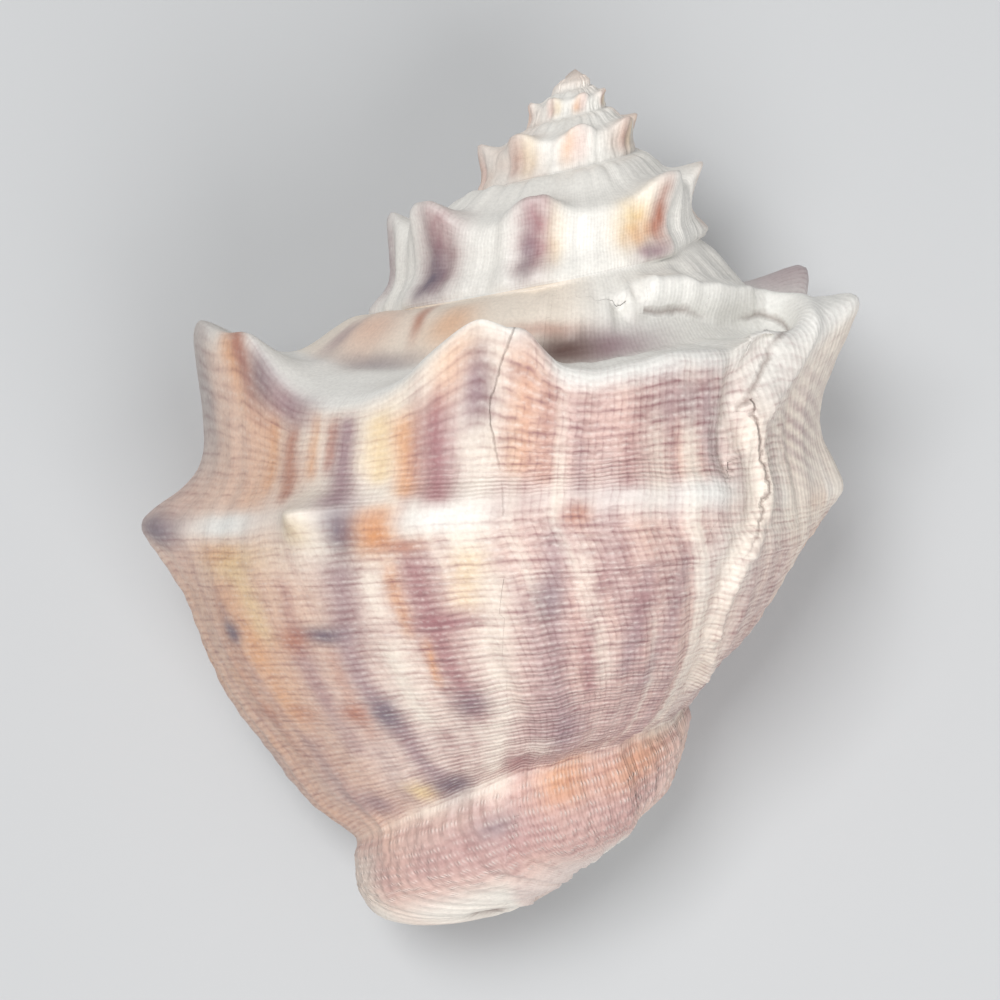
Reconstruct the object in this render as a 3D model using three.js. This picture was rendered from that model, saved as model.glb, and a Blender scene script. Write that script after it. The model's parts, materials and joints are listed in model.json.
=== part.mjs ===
// A rock shell lying on its opening, spire towards +Y and back towards +Z. Millimetres.
//
// The shell grew as one piece, so it is one closed body. Its outside is a single sheet that winds about the
// shell's axis. An outline runs across the sheet from the suture over the ramp, the spiny shoulder, the
// flank, the keel and the tapering base to the end of the canal. The outline grows by a fixed ratio in each
// turn, and each turn starts on the seam line of the turn before. The opening is a tube that goes in from
// the lip and narrows round the column in the middle.
//
// An angle about the axis is 0 in the middle of the back and grows the way the shell grew, towards -X.
import * as THREE from 'three';

// Coiling
const WHORL_RATIO = 2.0;
const TURNS = 5;
const LIP_ANGLE = 124;
const SIZED_AT_ANGLE = 90;
const POLE_DEPTH = 97.5;
const TIP_DEPTH = 0.6;

// How much the coil leans to one side, as depth over radius, half a turn apart from angle 90 upwards
const LEANS = [0, 0.05, 0.07, 0.13];

// How the shell rests on its lip, its belly and the end of its canal, in degrees
const REST_PITCH = 12.2;
const REST_ROLL = 5.0;

// Fineness of the surface
const COLUMNS_PER_TURN = 52;

// Thickness of the wall and of the glaze on the inner lip
const WALL = 2.5;
const GLAZE = 0.7;

// Stations of the outline, from the suture to the end of the canal. radius and depth below the tip of the
// spire are taken on the left side, at angle 90. lag is how far the lip stays behind at this station, and
// lead how far the inner lip runs ahead. deeper and wider are logarithmic changes against plain growth at
// the angles 180, 0, -90 and -180.
const STATIONS = [
  { name: 'rampIn', radius: 25.1, depth: 30.6, deeper: [0, 0.05, 0.03, 0] },
  { name: 'ramp', radius: 31.0, depth: 36.0, deeper: [0, 0.09, 0.07, 0.02] },
  { name: 'shoulder', radius: 37.2, depth: 40.3, deeper: [0, 0.07, 0.07, 0.02] },
  { name: 'flank', radius: 38.6, depth: 45.0, deeper: [0, 0.05, 0.11, 0.05] },
  { name: 'waist', radius: 38.9, depth: 49.8, deeper: [0, 0.03, 0.14, 0.06], wider: [0, 0.015, 0.01, 0] },
  { name: 'keel', radius: 40.8, depth: 55.1, deeper: [0, -0.01, 0.18, 0.06], wider: [0, -0.01, 0.02, 0] },
  { name: 'seam', radius: 41.1, depth: 57.6, deeper: [0, 0.01, 0.17, 0], wider: [0, 0, 0.02, 0] },
  { name: 'base1', radius: 41.5, depth: 61.2, lag: 3, lead: 14, deeper: [0, 0.03, 0.17, 0.10] },
  { name: 'base2', radius: 40.0, depth: 67.9, lag: 7, lead: 26, deeper: [0, 0.04, 0.16, 0.14],
    wider: [0, -0.01, -0.05, 0] },
  { name: 'base3', radius: 36.3, depth: 75.0, lag: 11, lead: 36, deeper: [0, 0.05, 0.16, 0.15],
    wider: [0, -0.03, -0.09, 0.02] },
  { name: 'base4', radius: 31.4, depth: 81.2, lag: 14, lead: 43, deeper: [-0.05, 0.04, 0.15, 0.16],
    wider: [0, -0.03, -0.11, 0.04] },
  { name: 'base5', radius: 26.8, depth: 86.6, lag: 14, lead: 47, deeper: [-0.12, 0.03, 0.14, 0.17],
    wider: [-0.06, -0.03, -0.06, 0.12] },
  { name: 'groove', radius: 20.8, depth: 90.8, lag: 10, lead: 48, deeper: [-0.16, 0.02, 0.12, 0.18],
    wider: [-0.12, 0.02, 0.11, 0.28] },
  { name: 'crest', radius: 20.6, depth: 93.4, lag: 12, lead: 46, deeper: [-0.17, 0.05, 0.13, 0.20],
    wider: [-0.14, 0.08, 0.17, 0.40] },
  { name: 'lower', radius: 19.9, depth: 97.2, lag: 22, lead: 44, deeper: [-0.17, 0.08, 0.17, 0.24],
    wider: [-0.16, 0.02, 0.10, 0.42] },
  { name: 'rim', radius: 17.4, depth: 100.3, lag: 48, lead: 42, deeper: [-0.17, 0.10, 0.22, 0.30],
    wider: [-0.18, -0.22, -0.24, 0.35] },
  { name: 'tip', radius: 11.0, depth: 100.9, lag: 80, lead: 42, deeper: [-0.17, 0.12, 0.26, 0.36],
    wider: [-0.2, -0.40, -0.55, 0.2] },
];

// Spines of the shoulder on the last turn and a bit: angle, how far they stand out and up, half their width
// in degrees, and half their height along the outline.
const SHOULDER_SPINES = [
  { angle: 126, out: 5.5, up: 5.0, width: 13, height: 5.4 },
  { angle: 85, out: 4.8, up: 8.8, width: 16, height: 5.4 },
  { angle: 15, out: 3.6, up: 10.5, width: 13, height: 5.5 },
  { angle: -22, out: 0.6, up: 4.5, width: 20, height: 5 },
  { angle: -50, out: 1.2, up: 5.5, width: 11, height: 5 },
  { angle: -76, out: 9.2, up: 7.8, width: 12, height: 6.4 },
  { angle: -110, out: 7.5, up: 9.0, width: 12, height: 5 },
  { angle: -148, out: 7.6, up: 6, width: 13, height: 5 },
  { angle: -195, out: 3.2, up: 6, width: 13, height: 5 },
  { angle: -238, out: 4, up: 6, width: 12, height: 5 },
  { angle: -268, out: 3.2, up: 7.0, width: 12, height: 4.8 },
  { angle: -303, out: 4.6, up: 7.5, width: 12, height: 4.8 },
  { angle: -347, out: 4.5, up: 5.5, width: 11, height: 4.8 },
  { angle: -402, out: 6.0, up: 7.0, width: 13, height: 4.8 },
  { angle: -449, out: 5.5, up: 6.5, width: 11, height: 4.8 },
];
// Above those the spines are evenly spaced.
const SPIRE_SPINE = { step: 46, out: 5, up: 6, width: 12, height: 4.8, count: 18 };

// Knobs of the keel
const KEEL_KNOBS = [
  { angle: 90, out: 6.3, width: 12, height: 5.5 },
  { angle: 42, out: 3.0, width: 7.5, height: 3.6 },
  { angle: 16, out: 1.0, width: 10, height: 3.5 },
  { angle: -25, out: 0.8, width: 14, height: 4 },
  { angle: -82, out: 4.8, width: 11, height: 5 },
  { angle: -138, out: 5.5, width: 12, height: 5 },
  { angle: -182, out: 2.5, width: 12, height: 5 },
  { angle: -220, out: 3.5, width: 12, height: 5 },
  { angle: -262, out: 3.5, width: 12, height: 5 },
  { angle: -305, out: 3.0, width: 12, height: 5 },
  { angle: -350, out: 3.0, width: 12, height: 5 },
  { angle: -400, out: 3.0, width: 12, height: 5 },
  { angle: -448, out: 5.0, width: 12, height: 5 },
];

// Old lips that run down the body: angle, height and half width in degrees
const OLD_LIPS = [
  { angle: 8, height: 0.5, width: 4 },
  { angle: -54, height: 1.1, width: 6 },
];

// The tube of the opening: how far each ring lies inside the lip, in degrees, and how far in the tube has
// its full shape
const TUBE_STEPS = [0.5, 2, 8, 18, 30, 45, 60, 80, 100, 125, 150, 180, 210];
const TUBE_FORMED = 75;
const COLUMN_RADIUS = 7;
const COLUMN_FOOT = 0.9;

const COLOUR = 0xd9c4b6;

const STATION_NAMES = ['top', ...STATIONS.map((s) => s.name), 'pole'];
const AT = Object.fromEntries(STATION_NAMES.map((name, k) => [name, k]));

const radians = THREE.MathUtils.degToRad;
const bell = (x) => Math.exp(-(Math.abs(x) ** 1.7));
const growth = (angle) => WHORL_RATIO ** ((angle - SIZED_AT_ANGLE) / 360);

// Catmull-Rom curve through evenly spaced values, whose ends run on straight.
function throughValues(values, position) {
  const last = values.length - 1;
  const value = (k) => {
    if (k < 0) return 2 * values[0] - values[1];
    if (k > last) return 2 * values[last] - values[last - 1];
    return values[k];
  };
  const p = THREE.MathUtils.clamp(position, 0, last);
  const k = Math.min(Math.floor(p), last - 1);
  const u = p - k;
  return (
    0.5 *
    (2 * value(k) +
      (value(k + 1) - value(k - 1)) * u +
      (2 * value(k - 1) - 5 * value(k) + 4 * value(k + 1) - value(k + 2)) * u * u +
      (3 * value(k) - value(k - 1) - 3 * value(k + 1) + value(k + 2)) * u ** 3)
  );
}

// A station's change against plain growth, between its values at the angles 180, 90, 0, -90, -180 and -270.
function change(values, angle) {
  if (!values) return 0;
  const [at180, at0, atMinus90, atMinus180] = values;
  return throughValues([at180, 0, at0, atMinus90, atMinus180, 0], (180 - angle) / 90);
}

// How far the coil leans, as depth over radius: the spire's right side stands higher than its left.
function lean(angle) {
  const position = THREE.MathUtils.clamp((SIZED_AT_ANGLE - angle) / 180, 0, LEANS.length - 1.001);
  const k = Math.floor(position);
  return THREE.MathUtils.lerp(LEANS[k], LEANS[k + 1], position - k) * Math.sin(radians(angle));
}

// Radius and depth of one station at an angle.
function stationAt(k, angle) {
  if (k === AT.pole) return [0, POLE_DEPTH];
  if (k === AT.top) return stationAt(AT.seam, angle - 360);
  const { radius, depth, deeper, wider } = STATIONS[k - 1];
  const r = radius * growth(angle) * Math.exp(change(wider, angle));
  const d = depth * growth(angle) * Math.exp(change(deeper, angle));
  return [r, d + r * lean(angle)];
}

// Distances along the outline at angle 90, which spines and knobs are measured in.
const distances = [0];
for (let k = 1; k < AT.pole + 1; k += 1) {
  const [r0, d0] = stationAt(k - 1, SIZED_AT_ANGLE);
  const [r1, d1] = stationAt(k, SIZED_AT_ANGLE);
  distances.push(distances[k - 1] + Math.hypot(r1 - r0, d1 - d0));
}
function distanceAt(position) {
  const k = Math.min(Math.floor(position), distances.length - 2);
  return THREE.MathUtils.lerp(distances[k], distances[k + 1], position - k);
}

const spines = [...SHOULDER_SPINES];
for (let n = 1; n <= SPIRE_SPINE.count; n += 1) {
  spines.push({ ...SPIRE_SPINE, angle: SHOULDER_SPINES.at(-1).angle - n * SPIRE_SPINE.step });
}

// The smooth outline at an angle, without spines, as radius and depth.
function smoothOutline(angle, position) {
  const stations = STATION_NAMES.map((_, k) => stationAt(k, angle));
  return [0, 1].map((axis) => throughValues(stations.map((s) => s[axis]), position));
}

// The outline with its spines, knobs and old lips.
function outline(angle, position) {
  let [r, d] = smoothOutline(angle, position);
  const along = distanceAt(position);
  const size = growth(angle);
  const clearOfSuture = THREE.MathUtils.clamp((position - 0.15) / 1.2, 0, 1);
  for (const spine of spines) {
    const turn = (angle - spine.angle) / spine.width;
    if (Math.abs(turn) > 3) continue;
    const swell = size * bell(turn) * bell((along - distances[AT.shoulder]) / spine.height) * clearOfSuture;
    r += spine.out * swell;
    d -= spine.up * swell;
  }
  for (const knob of KEEL_KNOBS) {
    const turn = (angle - knob.angle) / knob.width;
    if (Math.abs(turn) > 3) continue;
    r += size * knob.out * bell(turn) * bell((along - distances[AT.keel]) / knob.height);
  }
  for (const lip of OLD_LIPS) {
    const below = THREE.MathUtils.smoothstep(position, AT.ramp, AT.flank);
    const above = 1 - THREE.MathUtils.smoothstep(position, AT.base5, AT.crest);
    r += size * lip.height * bell((angle - lip.angle) / lip.width) * below * above;
  }
  return [r, d];
}

// A point from radius, depth and angle, with the axis along Y and the back towards +Z.
function place(r, d, angle) {
  return [-r * Math.sin(radians(angle)), -d, r * Math.cos(radians(angle))];
}

// Where the rows of the sheet cross the outline.
const spireRows = [0, 0.9, 1.8, 2.5, 3, 3.5, 4.3, 5.2, 6, 7];
const baseRows = [];
for (let p = AT.seam + 0.5; p < AT.pole - 0.6; p += 0.5) baseRows.push(p);
const rows = [...spireRows, ...baseRows, AT.pole];
const SEAM_ROW = spireRows.length - 1;
const POLE_ROW = rows.length - 1;

const lagAt = (position) => throughValues([0, ...STATIONS.map((s) => s.lag ?? 0), 90], position);
const leadAt = (position) => throughValues([0, ...STATIONS.map((s) => s.lead ?? 0), 42], position);

const points = [];
const triangles = [];
function addPoint(point) {
  points.push(point);
  return points.length - 1;
}
function addQuad(a, b, c, d) {
  if (a !== b && b !== c && a !== c) triangles.push(a, b, c);
  if (a !== c && c !== d && a !== d) triangles.push(a, c, d);
}

// The sheet: sheet[i][j] is the vertex at column i and row j. The last turn's columns go on from the seam
// to the pole, and shear from the inner lip's slant to the lip's.
const columns = TURNS * COLUMNS_PER_TURN;
const lastTurn = columns - COLUMNS_PER_TURN;
const pole = addPoint(place(0, POLE_DEPTH, 0));
const sheet = [];
for (let i = 0; i <= columns; i += 1) {
  const grown = LIP_ANGLE - ((columns - i) * 360) / COLUMNS_PER_TURN;
  const share = (i - lastTurn) / COLUMNS_PER_TURN;
  const rowCount = i < lastTurn ? SEAM_ROW : POLE_ROW;
  sheet[i] = [];
  for (let j = 0; j <= rowCount; j += 1) {
    if (j === 0 && i >= COLUMNS_PER_TURN) {
      sheet[i][j] = sheet[i - COLUMNS_PER_TURN][SEAM_ROW];
    } else if (j === POLE_ROW) {
      sheet[i][j] = pole;
    } else {
      const shear = j > SEAM_ROW ? (1 - share) * leadAt(rows[j]) - share * lagAt(rows[j]) : 0;
      const angle = grown + shear;
      sheet[i][j] = addPoint(place(...outline(angle, rows[j]), angle));
    }
  }
}
for (let i = 0; i < columns; i += 1) {
  const rowCount = i < lastTurn ? SEAM_ROW : POLE_ROW;
  for (let j = 0; j < rowCount; j += 1) {
    addQuad(sheet[i][j], sheet[i + 1][j], sheet[i + 1][j + 1], sheet[i][j + 1]);
  }
}

// The tip of the spire closes the first turn.
const tip = addPoint(place(0, TIP_DEPTH, 0));
for (let i = 0; i < COLUMNS_PER_TURN; i += 1) triangles.push(sheet[i][0], tip, sheet[i + 1][0]);
for (let j = 0; j < SEAM_ROW; j += 1) triangles.push(sheet[0][j], sheet[0][j + 1], tip);

// A point inside the wall: the smooth outline moved square to itself, inwards for a positive inset.
function insetOutline(angle, position, inset) {
  const step = 0.05;
  const [r0, d0] = smoothOutline(angle, Math.max(position - step, 0));
  const [r1, d1] = smoothOutline(angle, Math.min(position + step, AT.pole));
  const [r, d] = smoothOutline(angle, position);
  const length = Math.hypot(r1 - r0, d1 - d0);
  return [r - (inset * (d1 - d0)) / length, d + (inset * (r1 - r0)) / length];
}

// One ring of the tube, as points in the order lip from suture to pole, then inner lip back to the suture.
const lipRows = rows.map((position) => ({ position, inner: false }));
const innerRows = rows.slice(SEAM_ROW + 1, POLE_ROW).reverse().map((position) => ({ position, inner: true }));
const ringRows = [...lipRows, ...innerRows];

// The tube's ring where it has its full shape.
function formedPoint(angle, { position, inner }) {
  const before = angle - 360;
  const [, baseDepth] = smoothOutline(angle, AT.base5);
  const foot = [COLUMN_RADIUS * growth(angle), baseDepth * COLUMN_FOOT];
  const mix = (a, b, x) => [THREE.MathUtils.lerp(a[0], b[0], x), THREE.MathUtils.lerp(a[1], b[1], x)];
  if (inner && position < AT.groove) return insetOutline(before, position, -GLAZE);
  if (inner) {
    const share = (AT.pole - position) / (AT.pole - AT.groove);
    return mix(foot, insetOutline(before, AT.groove, -GLAZE), share);
  }
  if (position <= AT.base5) {
    return insetOutline(angle, 0.9 + (position * (AT.base5 - 0.9)) / AT.base5, WALL);
  }
  const share = (position - AT.base5) / (AT.pole - AT.base5);
  return mix(insetOutline(angle, AT.base5, WALL), foot, share);
}

// The tube's ring at the lip: the edge of the sheet carried inwards.
function lipPoint(depthIn, row) {
  const fromPole = THREE.MathUtils.clamp((AT.pole - row.position) / 2, 0, 1);
  const full = THREE.MathUtils.clamp(depthIn / 2, 0.35, 1) * fromPole;
  if (row.inner) {
    const angle = LIP_ANGLE - 360 + leadAt(row.position) - depthIn;
    return [insetOutline(angle, row.position, -GLAZE * full), angle];
  }
  const angle = LIP_ANGLE - lagAt(row.position) - depthIn;
  return [insetOutline(angle, row.position, WALL * full), angle];
}

let ring = [
  ...rows.map((_, j) => sheet[columns][j]),
  ...rows.slice(SEAM_ROW + 1, POLE_ROW).map((_, j) => sheet[lastTurn][SEAM_ROW + 1 + j]).reverse(),
];
let centre;
for (const depthIn of TUBE_STEPS) {
  const formed = THREE.MathUtils.smoothstep(depthIn, 0, TUBE_FORMED);
  const sum = new THREE.Vector3();
  const next = ringRows.map((row) => {
    const tubeAngle = LIP_ANGLE - depthIn - (row.inner ? 360 : 0);
    const [lipAt, lipAngle] = lipPoint(depthIn, row);
    const formedAt = formedPoint(LIP_ANGLE - depthIn, row);
    const r = THREE.MathUtils.lerp(lipAt[0], formedAt[0], formed);
    const d = THREE.MathUtils.lerp(lipAt[1], formedAt[1], formed);
    const angle = row.position === AT.pole ? tubeAngle : THREE.MathUtils.lerp(lipAngle, tubeAngle, formed);
    const point = place(r, d, angle);
    sum.add(new THREE.Vector3(...point));
    return addPoint(point);
  });
  for (let m = 0; m < ring.length; m += 1) {
    const n = (m + 1) % ring.length;
    addQuad(ring[n], ring[m], next[m], next[n]);
  }
  ring = next;
  centre = sum.divideScalar(next.length);
}
const end = addPoint(centre.toArray());
for (let m = 0; m < ring.length; m += 1) triangles.push(ring[(m + 1) % ring.length], ring[m], end);

const geometry = new THREE.BufferGeometry();
geometry.setAttribute('position', new THREE.Float32BufferAttribute(points.flat(), 3));
geometry.setIndex(triangles);
geometry.rotateX(radians(REST_PITCH));
geometry.rotateY(radians(REST_ROLL));
geometry.computeBoundingBox();
const { min, max } = geometry.boundingBox;
geometry.translate(-(min.x + max.x) / 2, -(min.y + max.y) / 2, -min.z);
geometry.computeVertexNormals();

const shell = new THREE.Mesh(
  geometry,
  new THREE.MeshStandardMaterial({ color: COLOUR, roughness: 0.55, metalness: 0, flatShading: true }),
);
shell.name = 'shell';

const part = new THREE.Group();
part.add(shell);

export default part;
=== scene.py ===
"""A rock shell at rest on its opening, with its spines, cords, old lips and markings.

The outside is one sheet coiled about the shell's axis. An outline runs across it from the suture over
the ramp, the shoulder, the flank, the keel and the base to the end of the canal. Angles about the axis
are in degrees, 0 in the middle of the back and growing the way the shell grew. Lengths are millimetres
until a mesh is made.
"""

import json
import logging
import math
from collections.abc import Iterable
from dataclasses import dataclass, field
from enum import Enum

import bpy
import numpy as np
from mathutils import Matrix, Vector

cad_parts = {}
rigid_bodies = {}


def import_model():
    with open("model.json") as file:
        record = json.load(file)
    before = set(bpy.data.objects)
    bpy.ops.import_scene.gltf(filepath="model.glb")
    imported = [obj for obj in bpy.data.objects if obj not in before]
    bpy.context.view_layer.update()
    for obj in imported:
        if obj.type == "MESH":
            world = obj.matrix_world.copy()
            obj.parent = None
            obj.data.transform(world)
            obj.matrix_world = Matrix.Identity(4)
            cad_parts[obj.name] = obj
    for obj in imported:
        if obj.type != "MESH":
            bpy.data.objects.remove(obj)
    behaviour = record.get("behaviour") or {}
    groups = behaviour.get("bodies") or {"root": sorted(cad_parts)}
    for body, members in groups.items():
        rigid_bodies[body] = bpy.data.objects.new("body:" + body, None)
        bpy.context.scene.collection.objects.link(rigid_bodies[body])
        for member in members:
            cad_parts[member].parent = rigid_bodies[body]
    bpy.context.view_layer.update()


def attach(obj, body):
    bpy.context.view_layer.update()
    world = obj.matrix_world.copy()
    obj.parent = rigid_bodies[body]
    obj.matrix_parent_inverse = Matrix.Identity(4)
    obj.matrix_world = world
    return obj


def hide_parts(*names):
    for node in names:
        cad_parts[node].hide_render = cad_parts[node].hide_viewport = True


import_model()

Array = np.ndarray
Place = tuple[float, float, float]
Pair = tuple[float, float]
Colour = tuple[float, float, float, float]
Socket = bpy.types.NodeSocket
MM = 0.001
FULL_TURN = 360.0
TINY = 1e-6
PATCH_EDGE = 2.3

log = logging.getLogger("rock_shell")


def smooth_ramp(values: Array, low: float, high: float) -> Array:
    """Rise smoothly from 0 at low to 1 at high, as 3t^2 - 2t^3.

    Args:
        values: where to read the ramp.
        low: value at which it leaves 0.
        high: value at which it reaches 1.

    Returns:
        The ramp at each value.
    """
    t = np.clip((values - low) / (high - low), 0.0, 1.0)
    return t * t * (3.0 - 2.0 * t)


def plateau(values: Array, rise: Pair, fall: Pair) -> Array:
    """A smooth ramp from 0 to 1 over the first pair of values, and back to 0 over the second."""
    return smooth_ramp(values, *rise) * (1.0 - smooth_ramp(values, *fall))


def bell(values: Array, power: float = 1.7) -> Array:
    """A hump that is 1 at 0 and falls off as exp(-|x|^power)."""
    return np.exp(-(np.abs(values) ** power))


def cubic_weights(position: Array, count: int) -> tuple[Array, Array]:
    """Find a Catmull-Rom curve's weights at positions along evenly spaced values.

    Args:
        position: places along the values, from 0 to count - 1.
        count: how many values there are.

    Returns:
        The number of the value before each place, and the weights of the four values around it.
    """
    p = np.clip(position, 0.0, count - 1.0)
    k = np.minimum(np.floor(p), count - 2).astype(int)
    u = p - k
    weights = 0.5 * np.stack(
        [
            -u + 2.0 * u**2 - u**3,
            2.0 - 5.0 * u**2 + 3.0 * u**3,
            u + 4.0 * u**2 - 3.0 * u**3,
            -(u**2) + u**3,
        ],
        axis=-1,
    )
    return k, weights


def with_straight_ends(values: Array) -> Array:
    """Add a value at both ends of the last axis, where the values run on straight."""
    first = 2.0 * values[..., :1] - values[..., 1:2]
    last = 2.0 * values[..., -1:] - values[..., -2:-1]
    return np.concatenate([first, values, last], axis=-1)


def curve_through(values: Array, position: Array) -> Array:
    """Read a Catmull-Rom curve through one row of evenly spaced values.

    Args:
        values: the values, on one axis.
        position: places along them, of any shape.

    Returns:
        The curve at each place.
    """
    k, weights = cubic_weights(position, len(values))
    padded = with_straight_ends(values)
    return sum(weights[..., n] * padded[k + n] for n in range(4))


def lattice_value(cells: Array, seed: int) -> Array:
    """Give each lattice cell a value from -1 to 1 by mixing the bits of its whole-number place.

    Args:
        cells: whole numbers, with the axes last.
        seed: picks one of many such patterns.

    Returns:
        A value for each cell.
    """
    mixed = np.full(cells.shape[:-1], (seed * 747796405 + 2891336453) & 0xFFFFFFFF, dtype=np.uint32)
    for axis in range(cells.shape[-1]):
        mixed = (mixed ^ cells[..., axis].astype(np.int64).astype(np.uint32)) * np.uint32(2654435761)
        mixed = mixed ^ (mixed >> np.uint32(15))
    mixed = mixed * np.uint32(2246822519)
    mixed = mixed ^ (mixed >> np.uint32(13))
    return mixed.astype(np.float64) / 2147483648.0 - 1.0


def value_noise(points: Array, seed: int) -> Array:
    """Smooth noise from -1 to 1: lattice values blended with 3t^2 - 2t^3 along each axis.

    Args:
        points: places, with the axes last.
        seed: picks the pattern.

    Returns:
        The noise at each place.
    """
    base = np.floor(points)
    part = points - base
    blend = part * part * (3.0 - 2.0 * part)
    axes = points.shape[-1]
    total = np.zeros(points.shape[:-1])
    for corner in range(2**axes):
        offset = np.array([(corner >> axis) & 1 for axis in range(axes)], dtype=float)
        weight = np.prod(np.where(offset > 0.5, blend, 1.0 - blend), axis=-1)
        total += weight * lattice_value(base + offset, seed)
    return total


def layered_noise(points: Array, seed: int, layers: int = 3) -> Array:
    """Noise with finer and weaker layers on top, each twice as fine and half as strong.

    Args:
        points: places, with the axes last.
        seed: picks the pattern.
        layers: how many layers are added.

    Returns:
        The noise at each place, roughly from -1 to 1.
    """
    total = np.zeros(points.shape[:-1])
    for layer in range(layers):
        total += value_noise(points * 2.0**layer, seed + 17 * layer) * 0.5**layer
    return total / (2.0 - 0.5 ** (layers - 1))


def unit_rows(vectors: Array) -> Array:
    """Scale each row of three to length 1."""
    return vectors / np.maximum(np.linalg.norm(vectors, axis=-1, keepdims=True), 1e-9)


@dataclass(frozen=True)
class Station:
    """One station of the outline, as measured at the angle where the shell is sized.

    radius and depth below the spire's tip place it. lag is how far the lip stays behind here, and lead
    how far the inner lip runs ahead. deeper and wider are logarithmic changes against plain growth at
    the angles 180, 0, -90 and -180.
    """

    name: str
    radius: float
    depth: float
    lag: float = 0.0
    lead: float = 0.0
    deeper: tuple[float, float, float, float] = (0.0, 0.0, 0.0, 0.0)
    wider: tuple[float, float, float, float] = (0.0, 0.0, 0.0, 0.0)


@dataclass(frozen=True)
class Swelling:
    """A spine of the shoulder or a knob of the keel: where it is, how far it stands out and up, and its
    half widths in degrees and along the outline."""

    angle: float
    out: float
    up: float
    width: float
    height: float


STATIONS = (
    Station("ramp_in", 25.1, 30.6, deeper=(0, 0.05, 0.03, 0)),
    Station("ramp", 31.0, 36.0, deeper=(0, 0.09, 0.07, 0.02)),
    Station("shoulder", 37.2, 40.3, deeper=(0, 0.07, 0.07, 0.02)),
    Station("flank", 38.6, 45.0, deeper=(0, 0.05, 0.11, 0.05)),
    Station("waist", 38.9, 49.8, deeper=(0, 0.03, 0.14, 0.06), wider=(0, 0.015, 0.01, 0)),
    Station("keel", 40.8, 55.1, deeper=(0, -0.01, 0.18, 0.06), wider=(0, -0.01, 0.02, 0)),
    Station("seam", 41.1, 57.6, deeper=(0, 0.01, 0.17, 0), wider=(0, 0, 0.02, 0)),
    Station("base_1", 41.5, 61.2, 3, 14, (0, 0.03, 0.17, 0.10)),
    Station("base_2", 40.0, 67.9, 7, 26, (0, 0.04, 0.16, 0.14), (0, -0.01, -0.05, 0)),
    Station("base_3", 36.3, 75.0, 11, 36, (0, 0.05, 0.16, 0.15), (0, -0.03, -0.09, 0.02)),
    Station("base_4", 31.4, 81.2, 14, 43, (-0.05, 0.04, 0.15, 0.16), (0, -0.03, -0.11, 0.04)),
    Station("base_5", 26.8, 86.6, 14, 47, (-0.12, 0.03, 0.14, 0.17), (-0.06, -0.03, -0.06, 0.12)),
    Station("groove", 20.8, 90.8, 10, 48, (-0.16, 0.02, 0.12, 0.18), (-0.12, 0.02, 0.11, 0.28)),
    Station("crest", 20.6, 93.4, 12, 46, (-0.17, 0.05, 0.13, 0.20), (-0.14, 0.08, 0.17, 0.40)),
    Station("lower", 19.9, 97.2, 22, 44, (-0.17, 0.08, 0.17, 0.24), (-0.16, 0.02, 0.10, 0.42)),
    Station("rim", 17.4, 100.3, 48, 42, (-0.17, 0.10, 0.22, 0.30), (-0.18, -0.22, -0.24, 0.35)),
    Station("tip", 11.0, 100.9, 80, 42, (-0.17, 0.12, 0.26, 0.36), (-0.2, -0.40, -0.55, 0.2)),
)

SHOULDER_SPINES = (
    Swelling(126, 5.5, 5.0, 13, 5.4),
    Swelling(84, 4.8, 8.7, 15, 5.4),
    Swelling(67, 0.8, 5.0, 8, 4.6),
    Swelling(15, 3.6, 10.5, 13, 5.5),
    Swelling(6.5, 0.6, 1.8, 3.2, 2.2),
    Swelling(-22, 0.6, 4.5, 20, 5),
    Swelling(-50, 1.2, 5.5, 11, 5),
    Swelling(-76, 9.2, 7.8, 12, 6.4),
    Swelling(-110, 7.5, 9.0, 12, 5),
    Swelling(-148, 7.6, 6, 13, 5),
    Swelling(-195, 3.2, 6, 13, 5),
    Swelling(-238, 4, 6, 12, 5),
    Swelling(-268, 3.2, 7.0, 12, 4.8),
    Swelling(-303, 4.6, 7.5, 12, 4.8),
    Swelling(-347, 4.5, 5.5, 11, 4.8),
    Swelling(-402, 6.0, 7.0, 13, 4.8),
    Swelling(-449, 5.5, 6.5, 11, 4.8),
)

KEEL_KNOBS = (
    Swelling(90, 6.3, 0, 12, 5.5),
    Swelling(42, 1.6, 0, 9, 3.8),
    Swelling(43.2, 3.2, 0, 4.0, 2.2),
    Swelling(16, 1.0, 0, 10, 3.5),
    Swelling(-25, 0.8, 0, 14, 4),
    Swelling(-82, 4.8, 0, 11, 5),
    Swelling(-138, 5.5, 0, 12, 5),
    Swelling(-182, 2.5, 0, 12, 5),
    Swelling(-220, 3.5, 0, 12, 5),
    Swelling(-262, 3.5, 0, 12, 5),
    Swelling(-305, 3.0, 0, 12, 5),
    Swelling(-350, 3.0, 0, 12, 5),
    Swelling(-400, 3.0, 0, 12, 5),
    Swelling(-448, 5.0, 0, 12, 5),
)


class At:
    """Positions on the outline, from the suture at 0 to the pole."""

    SHOULDER = 3
    FLANK = 4
    KEEL = 6
    SEAM = 7
    BASE_5 = 12
    GROOVE = 13
    POLE = 18


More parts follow.
